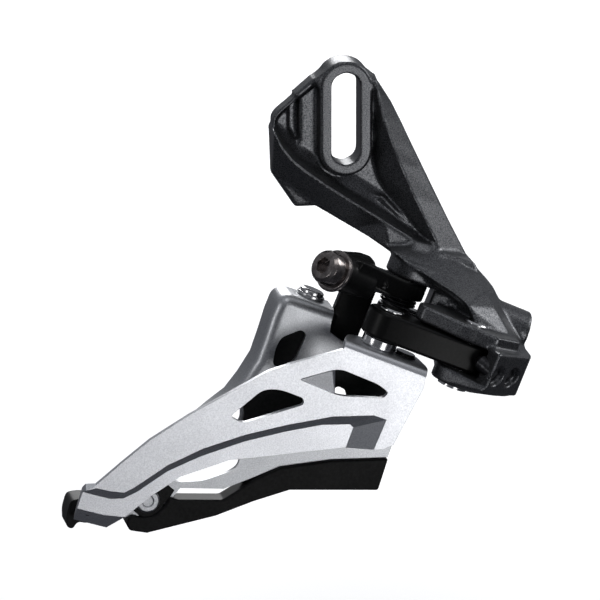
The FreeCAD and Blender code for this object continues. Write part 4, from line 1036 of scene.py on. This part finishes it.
def studio_floor():
    """A pale floor that lights itself a little, and stays out of the part's reflections."""
    bm = bmesh.new()
    bmesh.ops.create_grid(bm, x_segments=1, y_segments=1, size=FLOOR_HALF)
    floor = put(bm, "studio_floor", Matrix.Translation((0, 0, FLOOR_UP)))
    pale = bpy.data.materials.new("floor_pale")
    pale.use_nodes = True
    shader = pale.node_tree.nodes["Principled BSDF"]
    shader.inputs["Base Color"].default_value = (0.9, 0.9, 0.9, 1.0)
    shader.inputs["Roughness"].default_value = 0.9
    shader.inputs["Emission Color"].default_value = (1.0, 1.0, 1.0, 1.0)
    shader.inputs["Emission Strength"].default_value = 0.35
    floor.data.materials.append(pale)
    floor.visible_glossy = False
    floor.visible_diffuse = False


def studio_world():
    """White where the camera looks past the part, and a dark surround for the part's reflections."""
    world = bpy.data.worlds.new("studio")
    bpy.context.scene.world = world
    world.use_nodes = True
    tree = world.node_tree
    tree.nodes.clear()
    output = tree.nodes.new("ShaderNodeOutputWorld")
    seen = tree.nodes.new("ShaderNodeBackground")
    seen.inputs["Color"].default_value = (1.0, 1.0, 1.0, 1.0)
    seen.inputs["Strength"].default_value = 1.0
    around = tree.nodes.new("ShaderNodeBackground")
    around.inputs["Strength"].default_value = 1.0
    place = tree.nodes.new("ShaderNodeTexCoord")
    split = tree.nodes.new("ShaderNodeSeparateXYZ")
    ramp = tree.nodes.new("ShaderNodeValToRGB")
    ramp.color_ramp.elements[0].position = 0.30
    ramp.color_ramp.elements[0].color = (0.05, 0.052, 0.06, 1.0)
    ramp.color_ramp.elements[1].position = 0.95
    ramp.color_ramp.elements[1].color = (0.30, 0.31, 0.33, 1.0)
    wire(tree, place.outputs["Generated"], split.inputs["Vector"])
    wire(tree, math_node(tree, "MULTIPLY_ADD", split.outputs["Z"], 0.5, 0.5), ramp.inputs["Fac"])
    wire(tree, ramp.outputs["Color"], around.inputs["Color"])
    mix = tree.nodes.new("ShaderNodeMixShader")
    path = tree.nodes.new("ShaderNodeLightPath")
    wire(tree, path.outputs["Is Camera Ray"], mix.inputs["Fac"])
    wire(tree, around.outputs["Background"], mix.inputs[1])
    wire(tree, seen.outputs["Background"], mix.inputs[2])
    wire(tree, mix.outputs["Shader"], output.inputs["Surface"])


def aim(thing, azimuth, elevation, distance):
    """Stand a lamp or the camera off the part's middle, looking at it. Angles are degrees."""
    a = radians(azimuth)
    e = radians(elevation)
    back = Vector((sin(a) * cos(e), -cos(a) * cos(e), sin(e)))
    thing.location = CENTRE + back * distance
    thing.rotation_euler = back.to_track_quat("Z", "Y").to_euler()


def lamp(name, azimuth, elevation, distance, size, power):
    """A square soft lamp: its distance and size in metres, its power in watts."""
    data = bpy.data.lights.new(name, "AREA")
    data.shape = "SQUARE"
    data.size = size
    data.energy = power
    light = bpy.data.objects.new(name, data)
    bpy.context.scene.collection.objects.link(light)
    aim(light, azimuth, elevation, distance)


def camera():
    """A long lens from a little behind the part's side and a little above it."""
    data = bpy.data.cameras.new("camera")
    data.sensor_width = SENSOR
    data.lens = SENSOR * CAMERA_DISTANCE / VIEW_WIDTH
    view = bpy.data.objects.new("camera", data)
    bpy.context.scene.collection.objects.link(view)
    aim(view, CAMERA_AZIMUTH, CAMERA_ELEVATION, CAMERA_DISTANCE)
    bpy.context.scene.camera = view


studio_floor()
studio_world()
lamp("front_box", 19, -12, 0.62, 0.27, 0.66)
lamp("top_box", 0, 60, 1.2, 0.5, 1.0)
lamp("back_box", 174, 32, 1.1, 0.5, 6.0)
lamp("right_box", 92, 26, 1.1, 0.5, 3.6)
lamp("side_strip", -60, 10, 1.2, 0.3, 1.0)
camera()
bpy.context.scene.view_settings.view_transform = "Standard"
